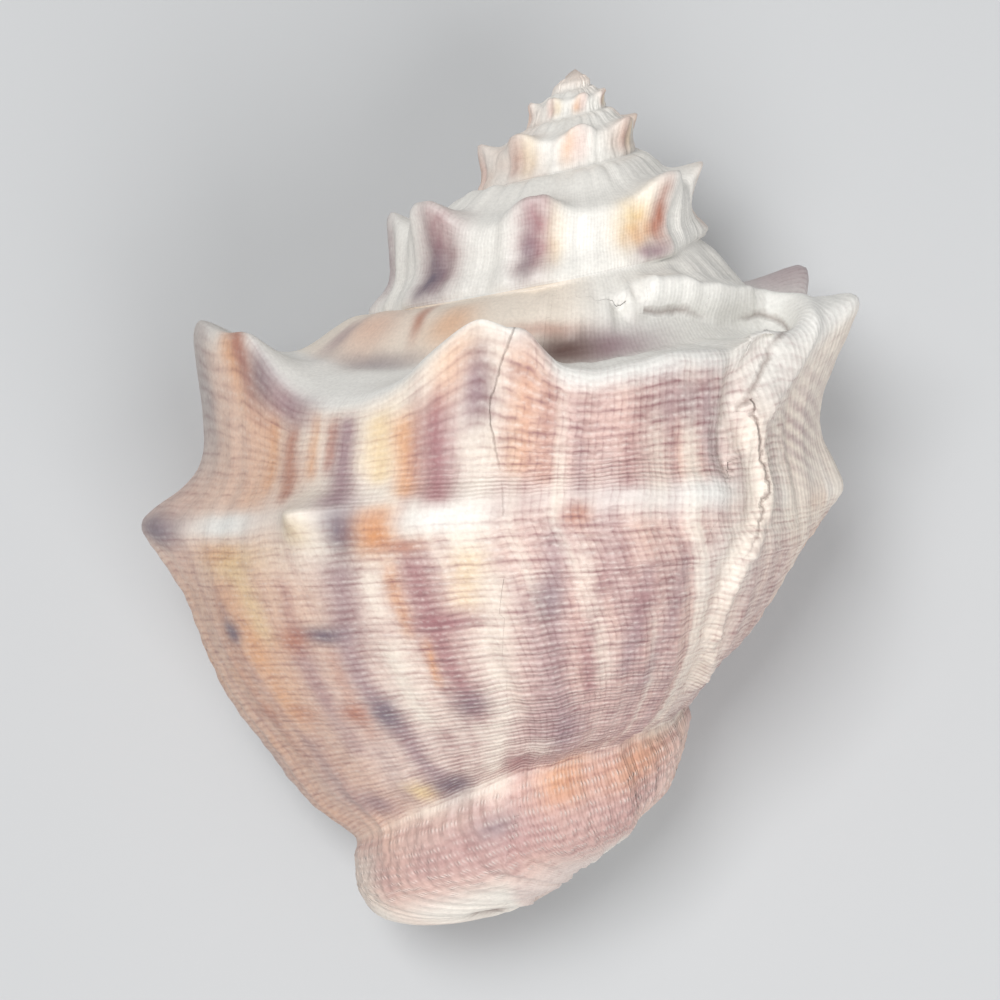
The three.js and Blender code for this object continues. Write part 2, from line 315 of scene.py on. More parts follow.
@dataclass
class Coil:
    """The curve family that the shell's outside follows."""

    ratio: float = 2.0
    turns: int = 5
    lip_angle: float = 124.0
    sized_at: float = 90.0
    pole_depth: float = 97.5
    tip_depth: float = 0.6
    leans: tuple[float, ...] = (0.0, 0.05, 0.07, 0.13)
    stations: tuple[Station, ...] = STATIONS
    spines: tuple[Swelling, ...] = SHOULDER_SPINES
    knobs: tuple[Swelling, ...] = KEEL_KNOBS
    spire_spine: Swelling = Swelling(0, 5, 6, 12, 4.8)
    spire_spine_step: float = 46.0
    spire_spine_count: int = 18
    sharp: float = 1.7
    blunt: float = 2.5
    clear_from: float = 0.15
    clear_over: float = 1.2
    pole_lag: float = 90.0
    pole_lead: float = 42.0
    radii: Array = field(init=False)
    depths: Array = field(init=False)
    deeper: Array = field(init=False)
    wider: Array = field(init=False)
    lags: Array = field(init=False)
    leads: Array = field(init=False)
    distances: Array = field(init=False)
    all_spines: tuple[Swelling, ...] = field(init=False)

    def __post_init__(self) -> None:
        """Turn the stations into arrays and measure the outline."""
        self.radii = np.array([s.radius for s in self.stations], dtype=float)
        self.depths = np.array([s.depth for s in self.stations], dtype=float)
        self.deeper = self._changes([s.deeper for s in self.stations])
        self.wider = self._changes([s.wider for s in self.stations])
        self.lags = np.array([0.0, *[s.lag for s in self.stations], self.pole_lag])
        self.leads = np.array([0.0, *[s.lead for s in self.stations], self.pole_lead])
        last = self.spines[-1].angle
        s = self.spire_spine
        self.all_spines = self.spines + tuple(
            Swelling(last - n * self.spire_spine_step, s.out, s.up, s.width, s.height)
            for n in range(1, self.spire_spine_count + 1)
        )
        r, d = self.crossings(np.array([self.sized_at]))
        steps = np.hypot(np.diff(r[0]), np.diff(d[0]))
        self.distances = np.concatenate([[0.0], np.cumsum(steps)])

    @property
    def last_start(self) -> float:
        """Angle at which the last turn starts."""
        return self.lip_angle - FULL_TURN

    @staticmethod
    def _changes(rows: list[tuple[float, float, float, float]]) -> Array:
        """Lay changes out at the angles 180, 90, 0, -90, -180 and -270, with straight ends added."""
        table = np.array([[a, 0.0, b, c, d, 0.0] for a, b, c, d in rows], dtype=float)
        return with_straight_ends(table)

    def growth(self, angle: Array) -> Array:
        """Size against the size at sized_at: ratio^((angle - sized_at) / 360)."""
        return self.ratio ** ((angle - self.sized_at) / FULL_TURN)

    def lean(self, angle: Array) -> Array:
        """How far the coil leans to one side at an angle, as depth over radius."""
        position = (self.sized_at - angle) / 180.0
        amount = np.interp(position, np.arange(len(self.leans)), self.leans)
        return amount * np.sin(np.radians(angle))

    def _station_places(self, angle: Array) -> tuple[Array, Array]:
        """Radius and depth of every measured station at each angle."""
        k, weights = cubic_weights((180.0 - angle) / 90.0, 6)
        wider = sum(weights[:, n, None] * self.wider[:, k + n].T for n in range(4))
        deeper = sum(weights[:, n, None] * self.deeper[:, k + n].T for n in range(4))
        size = self.growth(angle)[:, None]
        r = self.radii * size * np.exp(wider)
        d = self.depths * size * np.exp(deeper) + r * self.lean(angle)[:, None]
        return r, d

    def crossings(self, angle: Array) -> tuple[Array, Array]:
        """Radius and depth of all outline points at each angle, from the suture to the pole.

        The suture is the seam of the turn before, so it is the seam's place one turn earlier.

        Args:
            angle: angles, on one axis.

        Returns:
            Radii and depths, one row for each angle.
        """
        r, d = self._station_places(angle)
        before_r, before_d = self._station_places(angle - FULL_TURN)
        seam = At.SEAM - 1
        ends = np.zeros((len(angle), 1))
        r = np.concatenate([before_r[:, seam : seam + 1], r, ends], axis=1)
        d = np.concatenate([before_d[:, seam : seam + 1], d, ends + self.pole_depth], axis=1)
        return r, d

    def smooth(self, angle: Array, position: Array) -> tuple[Array, Array]:
        """Radius and depth of the outline without its spines: a Catmull-Rom curve through its points."""
        r, d = (with_straight_ends(values) for values in self.crossings(angle))
        k, weights = cubic_weights(position, At.POLE + 1)
        columns = k[:, None] + np.arange(4)
        r = (weights * np.take_along_axis(r, columns, axis=1)).sum(axis=1)
        d = (weights * np.take_along_axis(d, columns, axis=1)).sum(axis=1)
        return r, d

    def along(self, position: Array) -> Array:
        """Distance along the outline, in the millimetres of the angle where the shell is sized."""
        return np.interp(position, np.arange(At.POLE + 1), self.distances)

    def position_at(self, along: Array) -> Array:
        """The position at a distance along the outline."""
        return np.interp(along, self.distances, np.arange(At.POLE + 1))

    def outline(self, angle: Array, position: Array) -> tuple[Array, Array]:
        """Radius and depth of the outline with its spines and knobs.

        Each spine moves the outline out and up by the product of two bells, one round its angle and one
        round the shoulder, times the size at that angle. The spire's spines are blunter than the last
        turn's, and none moves the suture.
        """
        r, d = self.smooth(angle, position)
        along = self.along(position)
        size = self.growth(angle)
        clear = np.clip((position - self.clear_from) / self.clear_over, 0.0, 1.0)
        from_shoulder = along - self.distances[At.SHOULDER]
        for spine in self.all_spines:
            power = self.blunt if spine.angle < self.last_start else self.sharp
            swell = bell((angle - spine.angle) / spine.width, power) * bell(from_shoulder / spine.height)
            r = r + size * spine.out * swell * clear
            d = d - size * spine.up * swell * clear
        from_keel = along - self.distances[At.KEEL]
        for knob in self.knobs:
            across = bell((angle - knob.angle) / knob.width)
            r = r + size * knob.out * across * bell(from_keel / knob.height)
        return r, d

    def inset(self, angle: Array, position: Array, amount: Array) -> tuple[Array, Array]:
        """The smooth outline moved square to itself, inwards for a positive amount."""
        step = 0.05
        r0, d0 = self.smooth(angle, np.maximum(position - step, 0.0))
        r1, d1 = self.smooth(angle, np.minimum(position + step, At.POLE))
        r, d = self.smooth(angle, position)
        length = np.hypot(r1 - r0, d1 - d0)
        return r - amount * (d1 - d0) / length, d + amount * (r1 - r0) / length

    @staticmethod
    def place(r: Array, d: Array, angle: Array) -> Array:
        """Points from radius, depth and angle, with the axis along Y and the back towards +Z."""
        turned = np.radians(angle)
        return np.stack([-r * np.sin(turned), -d, r * np.cos(turned)], axis=-1)


class Skin:
    """Gathers the shell's vertices, the chart that its patterns are drawn on, and its faces.

    A chart point is a vertex together with its angle, position along the outline and depth inside the
    lip. Two turns share the vertices of a suture, and each has its own chart points there.
    """

    def __init__(self) -> None:
        """Start with nothing."""
        self._points: list[Array] = []
        self._vertex: list[Array] = []
        self._places: list[Array] = []
        self._quads: list[Array] = []
        self._triangles: list[Array] = []
        self.vertex_count = 0
        self.chart_count = 0

    def add_points(self, points: Array) -> Array:
        """Add vertices, with their coordinates last, and return their numbers in the same shape."""
        shape = points.shape[:-1]
        count = int(np.prod(shape))
        self._points.append(points.reshape(-1, 3))
        numbers = np.arange(self.vertex_count, self.vertex_count + count).reshape(shape)
        self.vertex_count += count
        return numbers

    def add_chart(self, vertex: Array, angle: Array, position: Array, inside: Array) -> Array:
        """Add chart points.

        Args:
            vertex: each point's vertex number.
            angle: its angle about the axis.
            position: its position along the outline.
            inside: how far inside the lip it lies, in degrees, and 0 on the outside.

        Returns:
            The chart points' numbers, in the shape of vertex.
        """
        shape = vertex.shape
        places = [np.broadcast_to(values, shape).reshape(-1) for values in (angle, position, inside)]
        self._vertex.append(vertex.reshape(-1))
        self._places.append(np.stack(places, axis=-1).astype(float))
        numbers = np.arange(self.chart_count, self.chart_count + vertex.size).reshape(shape)
        self.chart_count += vertex.size
        return numbers

    def vertices_of(self, chart: Array) -> Array:
        """The vertex numbers of chart points."""
        return np.concatenate(self._vertex)[chart]

    def add_grid(self, chart: Array) -> None:
        """Add the faces of a grid of chart points, whose first axis runs the way the shell grew."""
        corners = [chart[:-1, :-1], chart[1:, :-1], chart[1:, 1:], chart[:-1, 1:]]
        self._quads.append(np.stack([c.reshape(-1) for c in corners], axis=-1))

    def add_triangles(self, a: Array, b: Array, c: Array) -> None:
        """Add triangles from three arrays of chart points."""
        self._triangles.append(np.stack(np.broadcast_arrays(a, b, c), axis=-1).reshape(-1, 3))

    def add_strip(self, first: Array, at_first: Array, second: Array, at_second: Array) -> None:
        """Join two columns with different numbers of rows.

        Every step of either column gets a triangle, whose third corner is the other column's point that
        is level with the middle of the step.

        Args:
            first: chart points of the column that grew first.
            at_first: their positions, rising.
            second: chart points of the next column.
            at_second: their positions.
        """
        middle_first = (at_first[1:] + at_first[:-1]) / 2.0
        middle_second = (at_second[1:] + at_second[:-1]) / 2.0
        level = np.searchsorted(middle_second, middle_first, side="left")
        self.add_triangles(first[:-1], second[level], first[1:])
        level = np.searchsorted(middle_first, middle_second, side="right")
        self.add_triangles(first[level], second[:-1], second[1:])

    def gathered(self) -> tuple[Array, Array, Array, Array]:
        """Put all that was added together.

        Each quad is cut along its shorter diagonal, and a triangle with two corners on one vertex is
        left out.

        Returns:
            Vertex places, each chart point's vertex, the chart's places and the triangles.
        """
        points = np.concatenate(self._points)
        vertex = np.concatenate(self._vertex)
        quads = np.concatenate(self._quads)
        p = points[vertex[quads]]
        first, second = (np.linalg.norm(p[:, n] - p[:, n + 2], axis=1) for n in range(2))
        straight = first <= second
        kept, turned = quads[straight], quads[~straight]
        halves = [kept[:, [0, 1, 2]], kept[:, [0, 2, 3]], turned[:, [0, 1, 3]], turned[:, [1, 2, 3]]]
        triangles = np.concatenate(halves + self._triangles)
        v = vertex[triangles]
        sound = (v[:, 0] != v[:, 1]) & (v[:, 1] != v[:, 2]) & (v[:, 0] != v[:, 2])
        return points, vertex, np.concatenate(self._places), triangles[sound]


@dataclass
class Sheet:
    """The outside of the shell, from the tip of the spire to the lip and the end of the canal.

    crowding says how close together the last turn's columns stand, as angles and weights.
    """

    coil: Coil
    columns: int = 290
    spire_rows: tuple[int, ...] = (8, 14, 24, 42)
    last_rows: int = 84
    base_rows: int = 125
    crowding: tuple[Pair, ...] = (
        (-236, 1.0), (-100, 1.0), (-86, 2.0), (-76, 3.2), (-30, 3.2), (-24, 2.0), (96, 2.0), (112, 1.2),
        (124, 1.2),
    )

    def build(self, skin: Skin) -> tuple[Array, Array]:
        """Add the sheet's vertices, chart points and faces.

        The point in column c of turn t and position p lies at the angle lip - 360 (turns - t - c /
        columns). Below the seam the angle is sheared from the inner lip's slant to the lip's.

        Args:
            skin: what the sheet is added to.

        Returns:
            The chart points of the last turn's columns, and their positions.
        """
        coil = self.coil
        share = self._shares()
        seam_vertices = np.zeros(0, dtype=int)
        before: Array | None = None
        before_rows = np.zeros(0)
        first_end = np.zeros(0, dtype=int)
        tip = self._on_axis(skin, coil.tip_depth)
        tip_angle = coil.lip_angle - FULL_TURN * coil.turns
        tip_chart = skin.add_chart(tip, np.full(1, tip_angle), np.zeros(1), np.zeros(1))
        chart = np.zeros((0, 0), dtype=int)
        rows = np.zeros(0)
        for turn in range(coil.turns):
            last = turn == coil.turns - 1
            rows = self._rows(turn)
            used = share if last else share[:-1]
            grown = coil.lip_angle - FULL_TURN * (coil.turns - turn - used)
            angle = grown[:, None] + self._shear(used, rows)
            start = 0 if turn == 0 else 1
            stop = len(rows) - 1 if last else len(rows)
            own_angle = angle[:, start:stop]
            own_rows = np.broadcast_to(rows[start:stop], own_angle.shape)
            r, d = coil.outline(own_angle.reshape(-1), own_rows.reshape(-1))
            placed = coil.place(r, d, own_angle.reshape(-1)).reshape(*own_angle.shape, 3)
            vertices = skin.add_points(placed)
            if turn > 0:
                top = seam_vertices[: len(used)]
                if last:
                    own_seam = int(np.argmin(np.abs(rows - At.SEAM)))
                    top = np.concatenate([seam_vertices, vertices[:1, own_seam - 1]])
                vertices = np.concatenate([top[:, None], vertices], axis=1)
            if last:
                pole = self._on_axis(skin, coil.pole_depth)
                vertices = np.concatenate([vertices, np.broadcast_to(pole, (len(used), 1))], axis=1)
            chart = skin.add_chart(vertices, angle, np.broadcast_to(rows, angle.shape), np.zeros(1))
            skin.add_grid(chart)
            if turn == 0:
                skin.add_triangles(chart[:-1, 0], tip_chart, chart[1:, 0])
                skin.add_triangles(chart[0, :-1], chart[0, 1:], tip_chart)
                first_end = chart[-1:, 0]
            elif turn == 1:
                skin.add_triangles(first_end, tip_chart, chart[:1, 0])
            if before is not None:
                whole = rows <= At.SEAM + TINY
                skin.add_strip(before, before_rows, chart[0, whole], rows[whole])
            before, before_rows = chart[-1], rows
            if not last:
                seam_vertices = vertices[:, -1]
        return chart, rows

    def _on_axis(self, skin: Skin, depth: float) -> Array:
        """Add one vertex on the axis and return its number."""
        return skin.add_points(self.coil.place(np.zeros(1), np.full(1, depth), np.zeros(1)))

    def _shares(self) -> Array:
        """Shares of a turn at which the columns stand, closest where the crowding is highest."""
        at, weight = np.array(self.crowding, dtype=float).T
        fine = np.linspace(self.coil.last_start, self.coil.lip_angle, 4 * self.columns + 1)
        dense = np.interp(fine, at, weight)
        reached = np.concatenate([[0.0], np.cumsum((dense[1:] + dense[:-1]) / 2.0)])
        wanted = np.linspace(0.0, reached[-1], self.columns + 1)
        share = (np.interp(wanted, reached, fine) - fine[0]) / FULL_TURN
        share[0], share[-1] = 0.0, 1.0
        return share

    def _rows(self, turn: int) -> Array:
        """Positions of a turn's rows, evenly spaced along the outline."""
        coil = self.coil
        last = turn == coil.turns - 1
        count = self.last_rows if last else self.spire_rows[turn]
        seam = coil.distances[At.SEAM]
        upper = coil.position_at(np.linspace(0.0, seam, count + 1))
        upper[-1] = At.SEAM
        if not last:
            return upper
        lower = coil.position_at(np.linspace(seam, coil.distances[At.POLE], self.base_rows + 1))
        return np.concatenate([upper, lower[1:]])

    def _shear(self, share: Array, rows: Array) -> Array:
        """How far each point's angle is moved: the lead at the inner lip, minus the lag at the lip."""
        lag = curve_through(self.coil.lags, rows)
        lead = curve_through(self.coil.leads, rows)
        below = rows > At.SEAM + TINY
        return np.where(below, (1.0 - share[:, None]) * lead - share[:, None] * lag, 0.0)


@dataclass
class Tube:
    """The inside of the opening, from the lip round the column into the dark.

    steps are the rings' depths inside the lip in degrees, and at formed_at the tube has its full shape.
    The wall has its full thickness full_depth degrees inside the lip, and edge_share of it at once.
    """

    coil: Coil
    wall: float = 2.5
    glaze: float = 0.7
    below_seam: float = 0.75
    steps: tuple[float, ...] = (
        0.5, 1.2, 2, 4, 6.5, 9.5, 13, 17, 21, 26, 31, 37, 44, 52, 60, 70, 80, 92, 105, 120, 135, 155,
        180, 210,
    )
    full_depth: float = 2.0
    edge_share: float = 0.35
    formed_at: float = 75.0
    first_position: float = 0.9
    column_radius: float = 7.0
    column_foot: float = 0.9

    def build(self, skin: Skin, sheet: Array, rows: Array) -> None:
        """Add rings that go in from the edge of the sheet and close at the end.

        Args:
            skin: what the tube is added to.
            sheet: chart points of the sheet's last turn.
            rows: their positions.
        """
        coil = self.coil
        base = np.nonzero((rows > At.SEAM + TINY) & (rows < At.POLE - TINY))[0][::-1]
        position = np.concatenate([rows, rows[base]])
        inner = np.concatenate([np.zeros(len(rows), bool), np.ones(len(base), bool)])
        edge = np.concatenate([sheet[-1], sheet[0, base]])
        edge_angle = np.where(inner, self._inner_angle(position), self._lip_angle(position))
        rings = [skin.add_chart(skin.vertices_of(edge), edge_angle, position, np.zeros(1))]
        centre = np.zeros(3)
        for depth_in in self.steps:
            points, angle = self._ring(depth_in, position, inner)
            centre = points.mean(axis=0)
            rings.append(skin.add_chart(skin.add_points(points), angle, position, np.full(1, depth_in)))
        grid = np.stack(rings)
        grid = np.concatenate([grid, grid[:, :1]], axis=1)
        skin.add_grid(grid)
        end = skin.add_points(centre[None])
        end = skin.add_chart(end, np.zeros(1), np.full(1, At.FLANK), np.full(1, FULL_TURN))
        skin.add_triangles(np.roll(rings[-1], -1), rings[-1], end)

    def _lip_angle(self, position: Array) -> Array:
        """Angle of the lip's edge."""
        return self.coil.lip_angle - curve_through(self.coil.lags, position)

    def _inner_angle(self, position: Array) -> Array:
        """Angle of the inner lip's edge."""
        return self.coil.last_start + curve_through(self.coil.leads, position)

    def _ring(self, depth_in: float, position: Array, inner: Array) -> tuple[Array, Array]:
        """Points and angles of one ring: the edge carried inwards, blended to the formed tube."""
        coil = self.coil
        near_pole = np.clip((At.POLE - position) / 2.0, 0.0, 1.0)
        full = np.clip(depth_in / self.full_depth, self.edge_share, 1.0) * near_pole
        position = np.where(inner, np.maximum(position, At.SEAM + self.below_seam), position)
        lip_angle = np.where(inner, self._inner_angle(position), self._lip_angle(position)) - depth_in
        moved = np.where(inner, -self.glaze, self.wall) * full
        lip_r, lip_d = coil.inset(lip_angle, position, moved)
        tube_angle = coil.lip_angle - depth_in - np.where(inner, FULL_TURN, 0.0)
        formed_r, formed_d = self._formed(coil.lip_angle - depth_in, position, inner)
        blend = smooth_ramp(np.array(depth_in), 0.0, self.formed_at)
        r = lip_r + (formed_r - lip_r) * blend
        d = lip_d + (formed_d - lip_d) * blend
        angle = lip_angle + (tube_angle - lip_angle) * blend
        angle = np.where(position > At.POLE - TINY, tube_angle, angle)
        return coil.place(r, d, angle), angle

    def _formed(self, angle: float, position: Array, inner: Array) -> tuple[Array, Array]:
        """Radius and depth of the tube's full shape.

        The outer side keeps the wall's thickness, the inner side lies on the turn before, and both meet
        at the foot of the column.
        """
        coil = self.coil
        here = np.full(len(position), angle)
        _, base_depth = coil.smooth(np.array([angle]), np.array([float(At.BASE_5)]))
        foot_r = self.column_radius * float(coil.growth(np.array(angle)))
        foot_d = float(base_depth[0]) * self.column_foot
        first = self.first_position
        squeezed = first + np.minimum(position, At.BASE_5) * (At.BASE_5 - first) / At.BASE_5
        outer_r, outer_d = coil.inset(here, squeezed, np.full(len(here), self.wall))
        outer_share = np.clip((position - At.BASE_5) / (At.POLE - At.BASE_5), 0.0, 1.0)
        below = np.clip(position, At.SEAM + self.below_seam, At.GROOVE)
        under_r, under_d = coil.inset(here - FULL_TURN, below, np.full(len(here), -self.glaze))
        under_share = np.clip((At.POLE - position) / (At.POLE - At.GROOVE), 0.0, 1.0)
        inner_r = foot_r + (under_r - foot_r) * under_share
        inner_d = foot_d + (under_d - foot_d) * under_share
        r = np.where(inner, inner_r, outer_r + (foot_r - outer_r) * outer_share)
        d = np.where(inner, inner_d, outer_d + (foot_d - outer_d) * outer_share)
        return r, d


@dataclass(frozen=True)
class Rest:
    """How the shell lies: turned about X, then Y, and moved onto the floor. Degrees and millimetres."""

    pitch: float = 12.2
    roll: float = 5.0
    shift: Place = (7.494705, 49.481201, 33.666194)

    def matrix(self) -> Matrix:
        """The same placing as a 4 x 4 matrix."""
        roll = Matrix.Rotation(math.radians(self.roll), 4, "Y")
        pitch = Matrix.Rotation(math.radians(self.pitch), 4, "X")
        return Matrix.Translation(self.shift) @ (roll @ pitch)

    def apply(self, points: Array) -> Array:
        """Place points given in the shell's own frame."""
        m = np.array(self.matrix())
        return points @ m[:3, :3].T + m[:3, 3]


@dataclass(frozen=True)
class OldLip:
    """An old lip: a line on the body where growth stopped.

    path gives the line's angles and distances along the outline. Past the line the newer side lies
    lower by drop: it goes down over step_down and comes back over step_back, in millimetres from the
    line. The line itself is raised by ridge over width, and a rounded groove as deep as groove runs
    beside it on the newer side. degree and scale turn angles and distances along the outline into
    millimetres on the back. Nearer than start_fade and stop_fade to its ends the line fades away. Where
    two stretches are within tie of the same distance, the squarer one counts.
    """

    path: tuple[Pair, ...]
    drop: float
    ridge: float
    width: float
    groove: float = 0.0
    degree: float = 0.6
    scale: float = 0.84
    step_down: Pair = (-0.4, 0.9)
    step_back: Pair = (2.0, 9.0)
    start_fade: float = 4.0
    stop_fade: float = 6.0
    tie: float = 1e-4

    def distance(self, angle: Array, along: Array) -> tuple[Array, Array]:
        """Measure how far places lie from the line.

        Args:
            angle: angles about the axis.
            along: distances along the outline.

        Returns:
            The distance in millimetres, positive on the newer side, and a weight that fades at its ends.
        """
        unit = np.array([self.degree, self.scale])
        path = np.array(self.path) * unit
        place = np.stack([angle, along], axis=-1) * unit
        best = np.full(len(angle), np.inf)
        signed = np.zeros(len(angle))
        for start, stop in zip(path[:-1], path[1:]):
            step = stop - start
            share = np.clip(((place - start) @ step) / (step @ step), 0.0, 1.0)
            away = place - (start + share[:, None] * step)
            far = np.linalg.norm(away, axis=1)
            cross = step[0] * away[:, 1] - step[1] * away[:, 0]
            squareness = np.abs(cross) / (np.linalg.norm(step) * far + 1e-9)
            judged = far - self.tie * squareness
            nearer = judged < best
            best = np.where(nearer, judged, best)
            signed = np.where(nearer, -np.sign(cross) * far, signed)
        ends = smooth_ramp(np.linalg.norm(place - path[0], axis=1), 0.0, self.start_fade)
        ends = ends * smooth_ramp(np.linalg.norm(place - path[-1], axis=1), 0.0, self.stop_fade)
        return signed, ends

    def height(self, x: Array) -> Array:
        """Height of the line's profile at signed distances, by the rule in the class's description."""
        step = -self.drop * plateau(x, self.step_down, self.step_back)
        ridge = self.ridge * bell((x + 0.5 * self.width) / self.width)
        groove = -self.groove * bell((x - 1.6 * self.width) / (0.9 * self.width))
        return step + ridge + groove


FRACTURE = OldLip(
    (
        (8.1, 17.0), (9.2, 20.8), (11.3, 23.1), (12.8, 25.0), (12.4, 26.4), (11.3, 28.2), (10.0, 31.5),
        (9.2, 36.0), (9.0, 40.0),
    ),
    0.3, 0.2, 0.8,
)
FOLD = OldLip(
    (
        (-22.0, 4.6), (-30.0, 5.2), (-38.0, 5.8), (-51.5, 8.0), (-60.0, 9.4), (-67.5, 10.8),
        (-71.0, 12.2), (-70.5, 14.6), (-66.5, 16.8), (-63.0, 18.6), (-57.0, 21.2), (-50.2, 23.6),
        (-45.0, 25.0), (-41.0, 26.2), (-39.0, 28.5),
    ),
    0.3, 2.3, 1.6, 1.9,
)
CRACK = OldLip(
    (
        (-42.0, 23.0), (-41.0, 26.2), (-43.5, 29.0), (-45.2, 32.0), (-45.0, 35.0), (-42.0, 39.5),
        (-38.6, 43.5), (-38.4, 47.5), (-39.6, 51.3), (-44.0, 57.0), (-52.0, 64.0), (-58.0, 69.0),
    ),
    0.5, 0.6, 1.1, 0.35,
)
OLD_LIPS = (FRACTURE, FOLD, CRACK)


@dataclass(frozen=True)
class Hollow:
    """A place that is pressed in or raised: its middle, its half sizes and its height."""

    angle: float
    along: float
    wide: float
    tall: float
    height: float

    def spread(self, angle: Array, along: Array) -> Array:
        """Height added at each place: a bell round the middle angle times a bell along the outline."""
        across = bell((angle - self.angle) / self.wide)
        return self.height * across * bell((along - self.along) / self.tall)


HOLLOWS = (
    Hollow(-8, 9.6, 26, 2.9, -2.0),
    Hollow(-36, 9.5, 9, 2.6, -0.8),
    Hollow(-12, 15.0, 26, 2.3, 0.9),
    Hollow(24, 13.0, 9, 3.0, -0.8),
    Hollow(50, 11.2, 14, 1.6, -0.9),
    Hollow(16.5, 23.5, 4.5, 2.4, -1.1),
    Hollow(55, 24.0, 12, 4.0, -0.5),
    Hollow(-56, 15.6, 10, 3.2, -0.9),
    Hollow(31, 94.2, 9, 2.2, -1.6),
)


@dataclass
class Relief:
    """The fine shape of the outside, as a height in millimetres square to the surface.

    Heights, spacings and sizes are in millimetres. inside_share is what is left of the relief deep inside
    the opening.
    """

    coil: Coil
    lips: tuple[OldLip, ...] = OLD_LIPS
    hollows: tuple[Hollow, ...] = HOLLOWS
    cord_spacing: float = 2.35
    second_cord: float = 1.83
    flank_cord: float = 0.025
    base_cord: float = 0.06
    other_cord: float = 0.008
    wrinkle: float = 0.14
    waviness: float = 0.3
    wave_size: float = 9.0
    lamella: float = 0.3
    lamella_step: float = 4.6
    flow_spacing: float = 1.7
    scales: float = 0.55
    scale_size: float = 1.7
    scale_reach: float = 2.6
    deepest: float = 1.7
    inside_share: float = 0.12

    def height(self, points: Array, places: Array) -> Array:
        """Add up all the reliefs.

        Args:
            points: chart points in space.
            places: their angles, positions and depths inside the lip.

        Returns:
            The height at each chart point.
        """
        angle, position, inside = places.T
        along = self.coil.along(position)
        size = self.coil.growth(angle)
        last_turn = smooth_ramp(angle, self.coil.last_start - 2.0, self.coil.last_start + 10.0)
        rough = self._roughness(angle)
        total = self._cords(points, along, position) * rough
        total += self._wrinkles(angle, position) * rough
        total += self.waviness * layered_noise(points / self.wave_size, 5) * smooth_ramp(size, 0.1, 0.6)
        total += self._lamellae(points, angle, position)
        for lip in self.lips:
            x, ends = lip.distance(angle, along)
            total += lip.height(x) * ends * last_turn
        x, ends = CRACK.distance(angle, along)
        ragged = layered_noise(points / self.scale_size, 71) * bell(x / self.scale_reach)
        total += self.scales * ragged * ends * last_turn
        total += self._flow(angle, along) * last_turn
        for place in self.hollows:
            total += place.spread(angle, along) * last_turn
        total = np.maximum(total, -self.deepest)
        suture = smooth_ramp(position, 0.0, 0.9)
        seam = np.where(last_turn > 0.0, 1.0, 1.0 - smooth_ramp(position, 6.5, 7.0))
        outside = 1.0 - smooth_ramp(inside, 0.0, 6.0)
        share = self.inside_share + (1.0 - self.inside_share) * outside
        return total * suture * seam * np.sqrt(size) * share

    @staticmethod
    def _roughness(angle: Array) -> Array:
        """The older half of the back is rougher than the newer one, and what lies behind it less so."""
        return 1.0 + 0.7 * smooth_ramp(-angle, -12.5, -11.5) - 0.3 * smooth_ramp(-angle, 44.0, 50.0)

    def _cords(self, points: Array, along: Array, position: Array) -> Array:
        """Spiral cords: two rounded waves along the outline, bent by noise and uneven in height."""
        bent = along + 0.5 * layered_noise(points / 7.0, 11)
        wave = np.cos(2.0 * np.pi * bent / self.cord_spacing)
        second = np.cos(2.0 * np.pi * bent / (self.cord_spacing * self.second_cord) + 1.3)
        uneven = 0.75 + 0.5 * layered_noise(points / 5.0, 12)
        below = plateau(position, (6.4, 7.4), (12.4, 13.0))
        flank = plateau(position, (2.4, 3.2), (5.4, 6.2))
        strength = self.base_cord * below + self.flank_cord * flank + self.other_cord
        return strength * uneven * (wave + 0.7 * second)

    def _wrinkles(self, angle: Array, position: Array) -> Array:
        """Growth wrinkles: noise that changes fast the way the shell grew and slowly across."""
        grown = angle + curve_through(self.coil.lags, position)
        across = np.stack([grown / 3.1, position / 3.2], axis=-1)
        coarse = np.stack([grown / 6.5, position / 5.0], axis=-1)
        calm = 1.0 - 0.65 * bell((position - 2.6) / 0.7)
        older = 1.0 + 0.6 * smooth_ramp(-angle, -14.0, -6.0)
        both = layered_noise(across, 21, 2) + 1.9 * older * layered_noise(coarse, 22, 2)
        return self.wrinkle * calm * both

    def _lamellae(self, points: Array, angle: Array, position: Array) -> Array:
        """Overlapping scales of the ribbon below the groove: arcs that rise slowly and drop at once."""
        ribbon = plateau(position, (13.0, 13.4), (14.8, 15.6))
        arc = angle + 9.0 * (position - 14.2) ** 2 - 10.0 * position
        steps = arc / self.lamella_step + 0.9 * layered_noise(points / 6.0, 31)
        saw = steps - np.floor(steps)
        return self.lamella * ribbon * (saw**1.5 - 0.4)

    def _flow(self, angle: Array, along: Array) -> Array:
        """Lamellae beside the fold: sin(2 pi x / spacing) of the distance x, fading as exp(-|x| / 4)."""
        x, ends = FOLD.distance(angle, along)
        ripple = np.sin(2.0 * np.pi * x / self.flow_spacing)
        return self.lamella * 0.6 * ripple * np.exp(-np.abs(x) / 4.0) * ends


class Pigment(Enum):
    """The shell's colours, as a screen shows them, from 0 to 255; SHADE is painted shade, not a colour of
    the shell.
    """

    WHITE = (235, 234, 229)
    IVORY = (234, 223, 209)
    ROSE = (215, 181, 171)
    PEACH = (223, 190, 170)
    ORANGE = (220, 155, 98)
    YELLOW = (231, 204, 158)
    RUST = (176, 116, 96)
    WINE = (160, 112, 116)
    MAUVE = (158, 132, 138)
    SLATE = (116, 104, 116)
    # painted shade, laid in the channel on the ramp and in the canal's slot
    SHADE = (108, 84, 78)
    TAN = (219, 182, 156)
    GREY = (188, 180, 174)
    THROAT = (226, 150, 96)

    def linear(self) -> Array:
        """The colour in linear light, by the sRGB curve."""
        c = np.array(self.value, dtype=float) / 255.0
        return np.where(c <= 0.04045, c / 12.92, ((c + 0.055) / 1.055) ** 2.4)


Layer = tuple[Pigment, Array]


